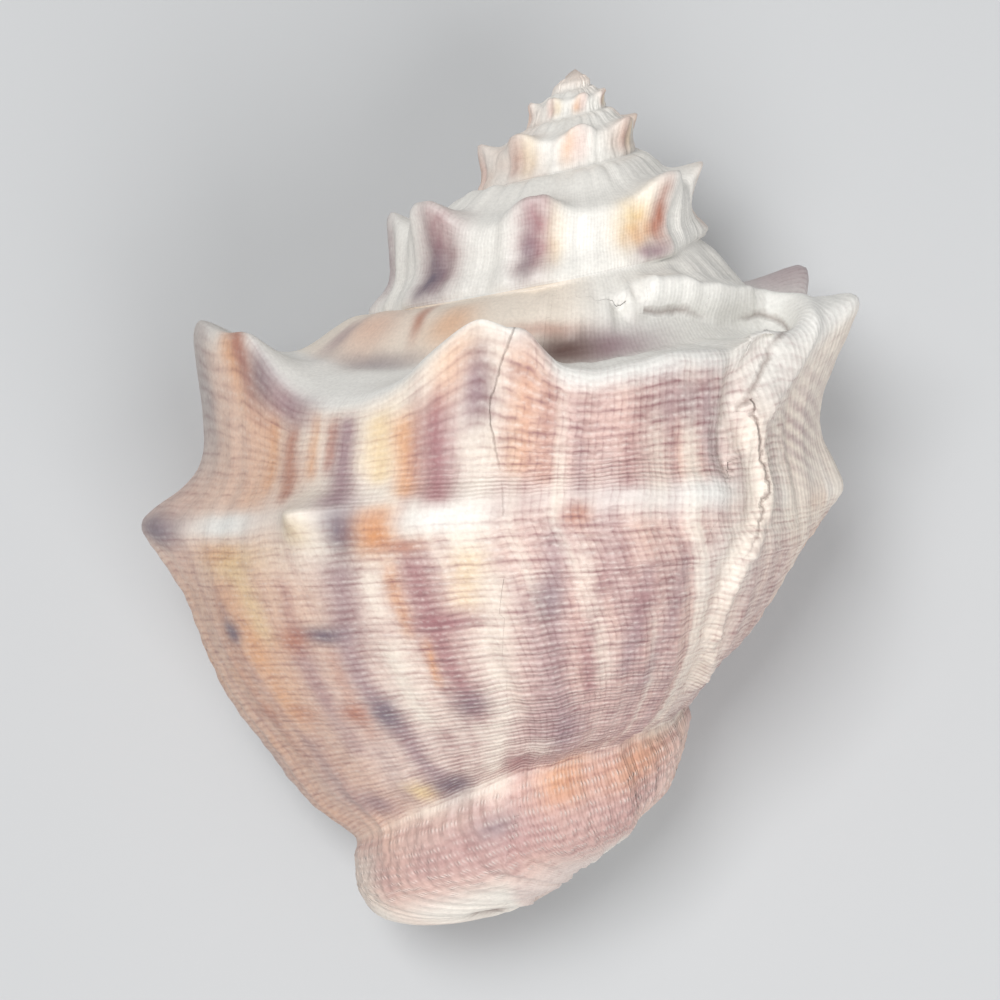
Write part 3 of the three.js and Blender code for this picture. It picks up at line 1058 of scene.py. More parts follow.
@dataclass(frozen=True)
class Mark:
    """A patch of pigment: its middle as angle and distance along the outline, its half sizes in degrees
    and millimetres, its strength, and how far it slants, in degrees per millimetre."""

    angle: float
    along: float
    wide: float
    tall: float
    pigment: Pigment
    strength: float
    slant: float = 0.0

    def cover(self, angle: Array, along: Array) -> Array:
        """How strongly the mark covers each place: a bell across it times a bell along the outline."""
        turn = (angle - self.angle - self.slant * (along - self.along)) / self.wide
        return self.strength * bell(turn, PATCH_EDGE) * bell((along - self.along) / self.tall, PATCH_EDGE)


MARKS = (
    Mark(43, 4.8, 1.8, 3.4, Pigment.RUST, 0.85, -0.62),
    Mark(32, 6, 7, 3.4, Pigment.ORANGE, 0.55),
    Mark(58, 6.4, 11, 4, Pigment.PEACH, 0.9),
    Mark(69, 8, 5, 3, Pigment.MAUVE, 0.6),
    # painted shadow under the ramp's edge, in slate
    Mark(48, 10.8, 15, 1.3, Pigment.SLATE, 0.6),
    # the channel on the ramp: a mauve tone that is partly painted shade, and painted shade in its deepest
    # part
    Mark(-15, 9.2, 15, 2.1, Pigment.MAUVE, 1.0),
    Mark(0, 9.2, 10, 2.0, Pigment.SHADE, 1.0),
    Mark(6, 6.8, 10, 0.9, Pigment.RUST, 0.5),
    Mark(70.5, 21.6, 2.8, 2.8, Pigment.ORANGE, 0.7, -1.2),
    Mark(68.0, 21.4, 2.2, 3.0, Pigment.RUST, 1.0, -1.4),
    Mark(56, 21.8, 8, 2.1, Pigment.MAUVE, 0.95),
    Mark(62.5, 21.6, 3.4, 2.2, Pigment.SLATE, 0.8),
    Mark(19.0, 22.6, 4.2, 2.0, Pigment.ORANGE, 0.45),
    Mark(15.4, 24.4, 3.2, 2.4, Pigment.MAUVE, 0.95),
    Mark(5, 20.4, 3.0, 1.4, Pigment.RUST, 0.45),
    Mark(72, 29, 15, 6, Pigment.PEACH, 0.8),
    # painted shade on the left spine's side that is turned from the light, grey with a little slate
    Mark(83.5, 24.0, 7, 6.4, Pigment.GREY, 0.95),
    Mark(80.5, 23.4, 3.4, 3.6, Pigment.SLATE, 0.25),
    Mark(-9, 25.4, 8, 2.2, Pigment.ROSE, 0.7),
    Mark(-25, 24.2, 8, 2.4, Pigment.MAUVE, 0.7),
    Mark(-31, 27.8, 3.4, 5, Pigment.MAUVE, 0.6),
    Mark(-46, 25.5, 5, 4, Pigment.PEACH, 0.5),
    Mark(-110, 18.0, 12, 5, Pigment.MAUVE, 0.7),
    Mark(84.5, 36.2, 5.5, 2.2, Pigment.SLATE, 0.9),
    Mark(67, 36, 10, 1.6, Pigment.WHITE, 1.0),
    Mark(63, 40, 9, 2.0, Pigment.YELLOW, 0.6),
    Mark(68, 39.2, 7, 1.4, Pigment.ORANGE, 0.4),
    Mark(44.5, 37.0, 3.6, 1.7, Pigment.YELLOW, 0.55),
    Mark(36, 37.4, 3.6, 3.0, Pigment.SLATE, 1.0),
    Mark(30.7, 37.6, 3.6, 2.4, Pigment.ORANGE, 1.0),
    Mark(30.7, 37.4, 3.0, 1.8, Pigment.RUST, 0.3),
    Mark(26, 39.2, 5, 0.8, Pigment.RUST, 0.8),
    Mark(19.7, 37.0, 8, 0.95, Pigment.WHITE, 0.8),
    Mark(-3.5, 37.4, 2.2, 1.0, Pigment.RUST, 0.9),
    Mark(-29, 35.2, 9, 1.9, Pigment.WHITE, 0.95),
    Mark(-14, 36.2, 8, 1.4, Pigment.WHITE, 0.5),
    Mark(42, 48.4, 5.5, 1.1, Pigment.SLATE, 0.95),
    Mark(48.5, 49.0, 3.4, 1.6, Pigment.RUST, 0.75),
    Mark(65.5, 48, 2.8, 1.4, Pigment.SLATE, 0.95),
    Mark(18.5, 47.7, 6.5, 0.95, Pigment.WINE, 0.95),
    Mark(40.5, 59.2, 3.4, 1.5, Pigment.RUST, 0.8),
    Mark(54, 59, 4, 1.4, Pigment.RUST, 0.45),
    Mark(68, 58.8, 6, 1.4, Pigment.RUST, 0.5),
    Mark(15.8, 59.0, 4.0, 2.4, Pigment.SLATE, 0.6),
    Mark(33.6, 59.6, 3.4, 3.0, Pigment.SLATE, 0.9),
    Mark(1.5, 45.6, 3.2, 2.4, Pigment.SLATE, 0.5),
    Mark(-17.5, 46.5, 2.6, 2.4, Pigment.WINE, 0.5),
    Mark(53, 74.6, 5, 3, Pigment.MAUVE, 0.75),
    Mark(37, 74.8, 3.6, 2.6, Pigment.YELLOW, 0.95),
    Mark(28, 76.2, 5.8, 3.2, Pigment.SLATE, 0.85),
    Mark(-8, 80.0, 9, 1.6, Pigment.ORANGE, 0.6),
    Mark(7, 75, 4.4, 3.4, Pigment.WINE, 0.7),
    Mark(1, 71, 5, 3, Pigment.IVORY, 0.5),
    Mark(-6, 68, 3.6, 5, Pigment.MAUVE, 0.7),
    Mark(20, 83.4, 48, 2.4, Pigment.WINE, 0.5),
    Mark(-38, 80.6, 18, 1.6, Pigment.ORANGE, 0.45),
    Mark(-36, 43.0, 7, 5.0, Pigment.WHITE, 0.6),
    # painted shade on the lobe at the canal's end, in grey
    Mark(58, 96.0, 12, 3.0, Pigment.GREY, 0.7),
    Mark(14, 81.8, 8, 0.9, Pigment.SLATE, 0.6),
    Mark(40, 86, 16, 2.2, Pigment.ROSE, 0.5),
)


@dataclass(frozen=True)
class Stroke:
    """A flame of pigment that runs down the body.

    path gives, row by row, a distance along the outline, the flame's angle there and its half width in
    degrees.
    """

    pigment: Pigment
    strength: float
    path: tuple[Place, ...]
    fade: float = 1.4

    def cover(self, angle: Array, along: Array) -> Array:
        """How strongly the flame covers each place, with both ends faded."""
        at, middle, wide = np.array(self.path, dtype=float).T
        start = smooth_ramp(along, at[0] - self.fade, at[0] + self.fade)
        stop = 1.0 - smooth_ramp(along, at[-1] - self.fade, at[-1] + self.fade)
        from_middle = (angle - np.interp(along, at, middle)) / np.interp(along, at, wide)
        return self.strength * start * stop * bell(from_middle, 2.0)


STROKES = (
    Stroke(Pigment.ORANGE, 0.7, ((23.5, 58.3, 1.6), (31.5, 58.0, 1.8))),
    Stroke(Pigment.RUST, 0.85, ((23.5, 53.2, 1.7), (28.0, 52.7, 2.6), (33.5, 51.0, 1.6))),
    Stroke(Pigment.ORANGE, 0.55, ((22.0, 47.5, 1.4), (30.0, 47.0, 1.4))),
    Stroke(Pigment.RUST, 0.8, ((22.5, 43.4, 1.3), (29.0, 43.0, 1.1))),
    Stroke(Pigment.MAUVE, 0.95, ((22.0, 40.2, 2.6), (28.0, 39.8, 2.8), (35.0, 37.5, 3.4))),
    Stroke(Pigment.YELLOW, 0.75, ((22.5, 33.0, 3.2), (28.0, 32.4, 3.2), (31.0, 32.0, 2.0))),
    Stroke(Pigment.ORANGE, 0.35, ((21.0, 61.5, 4.0), (34.0, 62.0, 5.0))),
    Stroke(Pigment.WINE, 0.4, ((42.0, 49.0, 1.6), (58.0, 45.5, 1.8))),
    Stroke(Pigment.RUST, 0.4, ((50.0, 41.0, 1.8), (64.0, 39.5, 2.2))),
    Stroke(Pigment.RUST, 0.35, ((44.0, 69.0, 2.4), (66.0, 66.0, 3.0))),
    Stroke(Pigment.ORANGE, 0.35, ((46.0, 60.0, 2.4), (60.0, 57.0, 3.0))),
    Stroke(Pigment.ORANGE, 0.7, ((24.0, 28.4, 2.2), (28.0, 27.4, 2.4), (34.0, 26.5, 2.0))),
    Stroke(Pigment.RUST, 0.4, ((24.0, 25.4, 1.6), (34.0, 24.0, 1.6))),
    Stroke(Pigment.WINE, 0.95, ((23.5, 22.6, 2.6), (28.0, 21.8, 3.6), (35.5, 20.6, 3.2))),
    Stroke(Pigment.IVORY, 0.3, ((20.0, 14.0, 3.4), (30.0, 13.8, 3.4), (36.0, 12.5, 3.0))),
    Stroke(Pigment.ORANGE, 0.4, ((21.0, 6.4, 3.2), (31.0, 7.2, 3.4))),
    Stroke(Pigment.RUST, 0.5, ((21.5, 2.4, 1.6), (33.0, 2.6, 1.8))),
    Stroke(Pigment.MAUVE, 0.5, ((24.0, -3.5, 1.4), (36.0, -4.5, 1.4))),
    Stroke(Pigment.WINE, 0.55, ((25.0, -12.4, 1.6), (36.0, -12.0, 1.8))),
    Stroke(Pigment.IVORY, 0.5, ((24.0, -18.0, 2.0), (36.0, -18.0, 2.0))),
    Stroke(Pigment.MAUVE, 0.78, (
        (40.5, 36.4, 4.8), (45.0, 36.6, 3.8), (50.5, 37.1, 3.2), (54.0, 36.6, 2.8), (58.0, 34.6, 2.8),
        (62.5, 32.4, 3.2), (69.0, 31.2, 2.4), (73.0, 29.0, 4.0), (77.5, 27.5, 5.0),
    )),
    Stroke(Pigment.WINE, 0.85, (
        (40.0, 24.0, 3.4), (45.0, 22.2, 3.4), (49.6, 19.8, 3.4), (54.0, 17.4, 3.0), (58.5, 15.1, 3.4),
        (62.5, 14.0, 2.4),
    )),
    Stroke(Pigment.ORANGE, 0.5, ((41.0, 27.6, 1.5), (49.0, 25.4, 1.2))),
    Stroke(Pigment.ORANGE, 0.6, ((50.0, 22.0, 0.9), (55.5, 20.8, 0.9))),
    Stroke(Pigment.YELLOW, 0.55, ((40.0, 14.6, 3.4), (46.5, 14.0, 3.2))),
    Stroke(Pigment.IVORY, 0.85, ((49.5, 28.6, 2.6), (56.0, 27.4, 3.2), (63.0, 25.2, 2.8))),
    Stroke(Pigment.IVORY, 0.7, ((41.0, 31.4, 1.6), (47.0, 30.2, 1.6))),
    Stroke(Pigment.IVORY, 0.75, ((42.0, 10.0, 3.6), (60.0, 9.0, 4.0), (76.0, 13.5, 4.0))),
    Stroke(Pigment.MAUVE, 0.6, (
        (38.5, 0.4, 2.0), (48.0, 0.0, 2.4), (56.0, -2.0, 2.0), (61.0, -3.8, 2.6), (70.0, -5.0, 3.2),
    )),
    Stroke(Pigment.WINE, 0.65, ((42.0, -8.6, 1.4), (52.0, -7.2, 1.6), (60.0, -9.6, 1.6))),
    Stroke(Pigment.MAUVE, 0.6, ((42.0, -17.4, 2.0), (49.0, -17.0, 2.4), (57.0, -16.0, 1.8))),
    Stroke(Pigment.IVORY, 0.5, ((40.0, -4.4, 1.8), (58.0, -12.6, 1.8))),
    Stroke(Pigment.MAUVE, 0.5, ((41.0, -24.5, 2.2), (60.0, -23.0, 2.4))),
    Stroke(Pigment.YELLOW, 0.6, ((38.5, 66.0, 3.6), (43.5, 58.6, 3.2), (49.0, 55.2, 2.6))),
    Stroke(Pigment.MAUVE, 0.45, ((50.0, 47.0, 3.4), (66.0, 46.0, 3.6))),
    Stroke(Pigment.MAUVE, 0.45, ((62.0, 58.0, 4.6), (76.0, 60.0, 5.0))),
)


SPIRE_MARKS = (
    Mark(-266, 27, 8, 8, Pigment.MAUVE, 0.7),
    Mark(-310, 27, 8.5, 9.5, Pigment.WINE, 0.75),
    Mark(-308, 31, 6, 6, Pigment.SLATE, 0.8),
    Mark(-354.5, 27, 4, 6, Pigment.YELLOW, 0.5),
    Mark(-347, 26.5, 6.5, 9, Pigment.WINE, 0.9),
    Mark(-345, 29.5, 3.5, 6, Pigment.SLATE, 0.55),
    Mark(-386, 26.5, 8, 6.5, Pigment.YELLOW, 0.95),
    Mark(-390, 29.5, 8, 3.4, Pigment.ORANGE, 0.55),
    Mark(-398.5, 28, 4.5, 6.5, Pigment.RUST, 0.9),
    Mark(-394, 35, 7, 2.6, Pigment.MAUVE, 0.95),
    Mark(-449, 27, 8, 8, Pigment.PEACH, 0.7),
)
# painted shadow in the canal's slot
SLOT_SHADOW = Mark(31, 94.4, 8.0, 2.5, Pigment.SHADE, 1.0)
OLD_BLOTCHES = ((1.0, Pigment.ORANGE, Pigment.ROSE), (-1.0, Pigment.YELLOW, Pigment.RUST))


@dataclass
class Paint:
    """The colours of the shell, with some painted shade and light: a ground that changes over the body,
    bands, flames and marks.

    Each layer is a pigment with its strength at each place, and later layers lie over earlier ones.
    """

    coil: Coil
    marks: tuple[Mark, ...] = MARKS
    strokes: tuple[Stroke, ...] = STROKES
    spire_marks: tuple[Mark, ...] = SPIRE_MARKS
    lip_bands: tuple[tuple[OldLip, Pigment, float], ...] = (
        (CRACK, Pigment.IVORY, 3.2),
        (FOLD, Pigment.WHITE, 3.4),
    )
    old_strength: float = 0.5
    rib_spacing: float = 1.6
    rib_climb: float = 0.27

    def colours(self, points: Array, places: Array) -> Array:
        """Work out the colour of each chart point.

        Args:
            points: chart points in space.
            places: their angles, positions and depths inside the lip.

        Returns:
            Linear red, green and blue, one row for each point.
        """
        angle, position, inside = places.T
        along = self.coil.along(position)
        drift = layered_noise(points / 6.0, 51)
        wander = layered_noise(points / 2.6, 52)
        angle_seen = angle + 0.6 * drift + 0.6 * wander
        along_seen = along + 0.5 * layered_noise(points / 4.0, 53)
        body = smooth_ramp(angle, self.coil.last_start, self.coil.last_start + 20.0)
        paint = self._ground(angle_seen, position, drift)
        paint = self._lay(paint, self._flames(angle_seen, position, body))
        placed = (*self.strokes, *self.marks)
        paint = self._lay(paint, ((p.pigment, p.cover(angle_seen, along_seen) * body) for p in placed))
        for lip, pigment, width in self.lip_bands:
            x, ends = lip.distance(angle, along)
            paint = self._lay(paint, [(pigment, 0.8 * bell((x - 0.8) / width) * ends * body)])
        paint = self._lay(paint, self._blotches(points, angle_seen, along_seen))
        throat = smooth_ramp(inside, 1.0, 22.0)
        return self._lay(paint, [
            (Pigment.MAUVE, 0.65 * self._ribs(angle, along) * body),
            # the ribbon's lower rim turned towards white: partly its pale colour, partly a painted
            # highlight
            (Pigment.WHITE, 0.4 * smooth_ramp(position, 15.0, 15.9)),
            # painted shadow in the canal's slot
            (SLOT_SHADOW.pigment, SLOT_SHADOW.cover(angle, along) * body),
            (Pigment.IVORY, smooth_ramp(inside, 0.0, 1.5)),
            (Pigment.THROAT, 0.8 * throat * (0.85 + 0.15 * drift)),
        ])

    @staticmethod
    def _lay(paint: Array, layers: Iterable[Layer]) -> Array:
        """Lay pigments over the paint, one after another."""
        for pigment, strength in layers:
            share = np.clip(strength, 0.0, 1.0)[:, None]
            paint = paint + (pigment.linear() - paint) * share
        return paint

    def _ribs(self, angle: Array, along: Array) -> Array:
        """Grey ribs behind the fold: a wave that climbs with the angle, times a bell round its middle."""
        wave = 0.5 + 0.5 * np.sin(2.0 * np.pi * (along + self.rib_climb * angle) / self.rib_spacing)
        return wave * bell((angle + 64.0) / 11.0) * bell((along - 29.0) / 5.0)

    def _ground(self, angle: Array, position: Array, drift: Array) -> Array:
        """Paint the ground: ivory, peach towards the lip, rose on the older half and white on ridges.

        Args:
            angle: angles about the axis.
            position: positions along the outline.
            drift: slow noise that makes the borders wander.

        Returns:
            Linear red, green and blue.
        """
        flank = smooth_ramp(position, 2.8, 3.6)
        body = smooth_ramp(angle, -250.0, -180.0)
        spire = 1.0 - smooth_ramp(angle, -250.0, -200.0)
        older = plateau(-angle, (-14.0, -6.0), (36.0, 50.0))
        oldest = smooth_ramp(-angle, 44.0, 60.0) * body
        behind = plateau(-angle, (-4.0, 14.0), (96.0, 130.0)) * (1.0 - flank)
        base = plateau(position, (7.2, 8.6), (12.6, 13.2)) * body
        low = smooth_ramp(position, 9.6, 11.4) * base
        keel = bell((position - 6.1) / 0.55) * body
        edge = position + 0.15 * drift - 0.2 * older
        shoulder = smooth_ramp(position, 1.7, 2.0) * (1.0 - smooth_ramp(edge, 2.95, 3.4)) * body
        ribbon = plateau(position, (13.0, 13.6), (15.0, 15.8))
        lobe = smooth_ramp(angle, 56.0, 72.0) * smooth_ramp(position, 13.2, 14.4)
        newer = smooth_ramp(angle + 8.0 * drift, 40.0, 62.0)
        newest = smooth_ramp(angle, 40.0, 56.0) * smooth_ramp(-drift, 0.0, 0.5)
        high = spire * smooth_ramp(-angle, 440.0, 480.0)
        ivory = np.broadcast_to(Pigment.IVORY.linear(), (len(angle), 3))
        return self._lay(ivory, [
            (Pigment.WHITE, 0.85 * spire),
            (Pigment.PEACH, 0.8 * flank * body * newer),
            (Pigment.ROSE, 0.8 * flank * older),
            (Pigment.GREY, 0.3 * flank * oldest * smooth_ramp(drift, -0.4, 0.5)),
            (Pigment.PEACH, 0.5 * high * smooth_ramp(drift, -0.3, 0.5)),
            (Pigment.WHITE, 0.8 * behind),
            (Pigment.ROSE, (0.5 - 0.25 * older) * base),
            (Pigment.WINE, 0.08 * base * older),
            (Pigment.TAN, 0.75 * base * smooth_ramp(angle + 8.0 * drift, 30.0, 56.0)),
            (Pigment.MAUVE, 0.18 * low),
            (Pigment.ORANGE, 0.25 * base * newest),
            (Pigment.GREY, 0.2 * base * smooth_ramp(drift, 0.0, 0.6)),
            (Pigment.WHITE, 0.4 * keel),
            (Pigment.WHITE, 0.92 * shoulder),
            (Pigment.ROSE, 0.75 * ribbon),
            (Pigment.WINE, 0.35 * ribbon * smooth_ramp(drift, -0.2, 0.6)),
            (Pigment.PEACH, 0.4 * ribbon * smooth_ramp(-drift, -0.1, 0.5)),
            (Pigment.IVORY, 0.75 * lobe),
        ])

    def _flames(self, angle: Array, position: Array, body: Array) -> list[Layer]:
        """Faint flames in the growth direction, and stronger ones on the parts turned from the back."""
        grown = angle + curve_through(self.coil.lags, position)
        cells = np.stack([grown / 9.0, position / 1.9], axis=-1)
        dark = smooth_ramp(layered_noise(cells, 61, 2), 0.15, 0.75)
        warm = smooth_ramp(layered_noise(cells * 0.8 + 7.3, 62, 2), 0.2, 0.8)
        fine = np.stack([grown / 2.4, position / 5.0], axis=-1)
        streak = smooth_ramp(layered_noise(fine, 63, 2), 0.1, 0.8)
        zone = plateau(position, (3.0, 3.8), (12.6, 13.2)) * body
        hidden = smooth_ramp(angle, 86.0, 96.0) + smooth_ramp(-angle, 62.0, 76.0)
        strength = zone * (0.18 + 0.5 * hidden)
        older = zone * smooth_ramp(-angle, -14.0, -4.0)
        fold = layered_noise(np.stack([grown / 4.2, position / 6.0], axis=-1), 64, 2)
        return [
            (Pigment.ORANGE, 0.8 * warm * strength),
            (Pigment.MAUVE, 1.1 * dark * strength),
            (Pigment.IVORY, 0.75 * older * smooth_ramp(fold, 0.05, 0.5)),
            (Pigment.MAUVE, 0.3 * older * smooth_ramp(-fold, 0.1, 0.6)),
            (Pigment.WINE, 0.3 * streak * zone),
        ]

    def _blotches(self, points: Array, angle: Array, along: Array) -> list[Layer]:
        """Patches of pigment on the flank of the spire: placed ones on its last turn and two faint ones
        under each spine above."""
        under = self.coil.distances[At.FLANK] + 2.0
        rough = 1.0 + 0.5 * layered_noise(points / 1.3, 65)
        tall = bell((along - under) / 8.0, 2.2) * rough * self.old_strength
        layers = [(mark.pigment, mark.cover(angle, along) * rough) for mark in self.spire_marks]
        for number, spine in enumerate(self.coil.all_spines):
            if spine.angle > self.spire_marks[-1].angle - 1.0:
                continue
            side, first, second = OLD_BLOTCHES[number % 2]
            layers.append((first, bell((angle - spine.angle - 8.0 * side) / 7.0, 2.0) * tall))
            layers.append((second, bell((angle - spine.angle + 1.5 * side) / 7.0, 2.5) * tall))
        return layers


class NodeDraft:
    """Short ways to add and link shader nodes."""

    def __init__(self, name: str) -> None:
        """Start an empty material."""
        self.material = bpy.data.materials.new(name)
        self.material.use_nodes = True
        self.nodes = self.material.node_tree.nodes
        self.links = self.material.node_tree.links
        self.nodes.clear()

    def add(self, kind: str, **settings: object) -> bpy.types.ShaderNode:
        """Add a node and set its properties."""
        node = self.nodes.new(kind)
        for name, value in settings.items():
            setattr(node, name, value)
        return node

    def put(self, socket: Socket, value: object) -> None:
        """Link a socket, or set its own value."""
        if isinstance(value, Socket):
            self.links.new(value, socket)
        else:
            socket.default_value = value

    def math(self, operation: str, *values: object, clamp: bool = False) -> Socket:
        """Add a Math node and return its result."""
        node = self.add("ShaderNodeMath", operation=operation, use_clamp=clamp)
        for socket, value in zip(node.inputs, values):
            self.put(socket, value)
        return node.outputs[0]

    def mix(self, share: object, first: object, second: object, blend: str = "MIX") -> Socket:
        """Mix two colours and return the result."""
        node = self.add("ShaderNodeMix", data_type="RGBA", blend_type=blend, clamp_factor=True)
        for number, value in ((0, share), (6, first), (7, second)):
            self.put(node.inputs[number], value)
        return node.outputs[2]

    def noise(self, vector: object, scale: float, detail: float = 2.0) -> Socket:
        """Add noise and return its value, from 0 to 1."""
        node = self.add("ShaderNodeTexNoise")
        for name, value in (("Vector", vector), ("Scale", scale), ("Detail", detail)):
            self.put(node.inputs[name], value)
        return node.outputs["Fac"]

    def times(self, *values: object) -> Socket:
        """The product of all the values, multiplied in their order."""
        total = values[0]
        for value in values[1:]:
            total = self.math("MULTIPLY", total, value)
        return total

    def power(self, value: object, exponent: float) -> Socket:
        """A value to a power, which narrows its peaks."""
        return self.math("POWER", value, exponent)

    def plus(self, value: object, factor: object, offset: object, clamp: bool = False) -> Socket:
        """Factor times value plus offset, kept from 0 to 1 if clamp is set."""
        return self.math("MULTIPLY_ADD", value, factor, offset, clamp=clamp)

    def contrast(self, value: object, line: Pair) -> Socket:
        """Factor times value plus offset, given as a pair and kept from 0 to 1."""
        return self.plus(value, *line, clamp=True)

    def wave(self, value: object, spacing: float) -> Socket:
        """A wave from 0 to 1 with the given spacing: 0.5 + 0.5 sin(2 pi value / spacing)."""
        turned = self.math("SINE", self.times(value, 2.0 * math.pi / spacing))
        return self.plus(turned, 0.5, 0.5)

    def parts(self, kind: str, output: str, **settings: object) -> bpy.types.bpy_prop_collection:
        """Add a node that gives a vector, and return the sockets of the vector's three parts."""
        split = self.add("ShaderNodeSeparateXYZ")
        self.put(split.inputs[0], self.add(kind, **settings).outputs[output])
        return split.outputs


@dataclass
class Pattern:
    """What the parts of the material share.

    paint, beaded, threaded, lined and glossy come from the mesh, place and the noises broad, small and
    grain from space. straight is the distance along the outline, along and grown are the chart's
    coordinates bent by noise, and thread, cord and line are waves of them. patchy breaks lines up.
    """

    paint: Socket
    beaded: Socket
    threaded: Socket
    lined: Socket
    glossy: Socket
    straight: Socket
    place: Socket
    broad: Socket
    small: Socket
    grain: Socket
    along: Socket
    grown: Socket
    thread: Socket
    cord: Socket
    line: Socket
    patchy: Socket


@dataclass(frozen=True)
class ShellFinish:
    """Chalky shell with fine spiral threads and growth lines, and painted shade along the old lips.

    Spacings and widths are in millimetres and degrees, thread_depth is in metres, and the noise scales
    are cells per metre. dash_stretch scales the growth angle and the distance along the outline for the
    dashes. Every other pair is a factor and an offset, and all but mottle's result is kept from 0 to 1.
    """

    thread_spacing: float = 0.78
    cord_threads: float = 2.4
    line_spacing: float = 1.35
    thread_depth: float = 0.00007
    roughness: float = 0.48
    broad_scale: float = 130.0
    small_scale: float = 700.0
    grain_scale: float = 2600.0
    speck_scale: float = 1500.0
    ragged_scale: float = 520.0
    broad_bend: float = 0.9
    small_bend: float = 0.35
    angle_bend: float = 2.6
    patches: Pair = (4.0, -1.45)
    dashes: Pair = (4.5, -2.1)
    specks: Pair = (3.0, -1.2)
    beads: Pair = (4.5, -1.8)
    breaks: Pair = (5.0, -1.6)
    tint: Pair = (-1.9, 1.85)
    crack_end: Pair = (-0.09, 4.2)
    groove_sharpness: float = 4.5
    groove_strength: float = 0.62
    hair_sharpness: float = 5.0
    hair_strength: float = 0.36
    dash_stretch: Pair = (0.17, 1.2)
    dash_strength: float = 0.38
    crest_strength: float = 0.34
    bead_strength: float = 0.4
    lip_shade_widths: Place = (0.16, 0.30, 0.2)
    fold_shift: float = -1.1
    mottle: Pair = (0.3, 0.86)
    gloss: float = -0.22
    line_colour: Colour = (0.42, 0.27, 0.28, 1.0)
    lip_shade_colour: Colour = (0.20, 0.13, 0.11, 1.0)
    light_colour: Colour = (0.90, 0.84, 0.78, 1.0)

    def build(self) -> bpy.types.Material:
        """Make the material.

        Threads are a wave of the distance along the outline, and growth lines a wave of the growth angle,
        both bent by noise. The grooves between threads take a darker colour and the crests a lighter one.

        Returns:
            The material.
        """
        draft = NodeDraft("shell_skin")
        p = self._pattern(draft)
        colour, tinted = self._darkened(draft, p)
        colour, bead = self._lightened(draft, p, colour)
        lip_shade = self._lip_shade_lines(draft, p)
        # lay the painted shade lines in the old lips' steps, fold and crack
        colour = draft.mix(lip_shade, colour, self.lip_shade_colour)
        mottle = draft.plus(p.grain, *self.mottle)
        value = draft.add("ShaderNodeHueSaturation")
        draft.put(value.inputs["Value"], mottle)
        draft.put(value.inputs["Color"], colour)
        bump = self._bump(draft, p, tinted, bead, lip_shade)
        shader = draft.add("ShaderNodeBsdfPrincipled")
        draft.put(shader.inputs["Base Color"], value.outputs[0])
        rough = draft.plus(p.small, 0.16, self.roughness - 0.08)
        draft.put(shader.inputs["Roughness"], draft.plus(p.glossy, self.gloss, rough))
        draft.put(shader.inputs["Normal"], bump)
        out = draft.add("ShaderNodeOutputMaterial")
        draft.put(out.inputs["Surface"], shader.outputs[0])
        return draft.material

    def _pattern(self, draft: NodeDraft) -> Pattern:
        """Read what the mesh holds, and make the noises and the waves."""
        painted = draft.add("ShaderNodeAttribute", attribute_name="paint")
        paint, beaded = painted.outputs["Color"], painted.outputs["Alpha"]
        threaded, lined, glossy = draft.parts("ShaderNodeAttribute", "Vector", attribute_name="feel")
        chart = draft.parts("ShaderNodeUVMap", "UV", uv_map="growth")
        place = draft.add("ShaderNodeTexCoord").outputs["Object"]
        broad = draft.noise(place, self.broad_scale)
        small = draft.noise(place, self.small_scale)
        grain = draft.noise(place, self.grain_scale, 3.0)
        bend = draft.plus(broad, self.broad_bend, draft.times(small, self.small_bend))
        along = draft.math("ADD", chart[1], bend)
        grown = draft.math("ADD", chart[0], draft.times(bend, self.angle_bend))
        thread = draft.wave(along, self.thread_spacing)
        cord = draft.wave(along, self.thread_spacing * self.cord_threads)
        line = draft.wave(grown, self.line_spacing)
        patchy = draft.contrast(small, self.patches)
        return Pattern(
            paint, beaded, threaded, lined, glossy, chart[1], place, broad, small, grain, along, grown,
            thread, cord, line, patchy,
        )

    def _darkened(self, draft: NodeDraft, p: Pattern) -> tuple[Socket, Socket]:
        """Darken the grooves between threads, the growth lines and short dashes.

        Returns:
            The colour, and a value that is low on pale paint, where these show less.
        """
        groove = draft.power(draft.math("SUBTRACT", 1.0, p.thread), self.groove_sharpness)
        groove = draft.times(groove, draft.plus(p.cord, 0.5, 0.5))
        groove = draft.times(groove, p.threaded, p.patchy)
        bare = draft.add("ShaderNodeRGBToBW")
        draft.put(bare.inputs[0], p.paint)
        tinted = draft.contrast(bare.outputs[0], self.tint)
        groove = draft.times(groove, tinted)
        hair = draft.power(p.line, self.hair_sharpness)
        hair = draft.times(hair, draft.times(p.lined, p.patchy), tinted)
        stretched = draft.add("ShaderNodeCombineXYZ")
        for number, value in enumerate((p.grown, p.along)):
            draft.put(stretched.inputs[number], draft.times(value, self.dash_stretch[number]))
        dash = draft.contrast(draft.noise(stretched.outputs[0], 1.0), self.dashes)
        dash = draft.times(dash, p.threaded, tinted)
        groove = draft.times(groove, self.groove_strength)
        dark = draft.plus(hair, self.hair_strength, groove, clamp=True)
        dark = draft.plus(dash, self.dash_strength, dark, clamp=True)
        colour = draft.mix(dark, p.paint, self.line_colour, "MULTIPLY")
        return draft.mix(draft.times(dark, 0.35), colour, self.line_colour), tinted

    def _lightened(self, draft: NodeDraft, p: Pattern, colour: Socket) -> tuple[Socket, Socket]:
        """Lighten specks on the threads, and the beads of the ribbon.

        Returns:
            The colour, and how strong the beads are.
        """
        speck = draft.contrast(draft.noise(p.place, self.speck_scale), self.specks)
        crest = draft.power(p.thread, 2.0)
        crest = draft.times(crest, draft.times(p.threaded, speck), self.crest_strength)
        colour = draft.mix(crest, colour, self.light_colour)
        bead = draft.times(draft.power(p.thread, 1.5), draft.times(p.line, p.beaded))
        bead = draft.times(bead, draft.contrast(p.small, self.beads))
        return draft.mix(draft.times(bead, self.bead_strength), colour, self.light_colour), bead

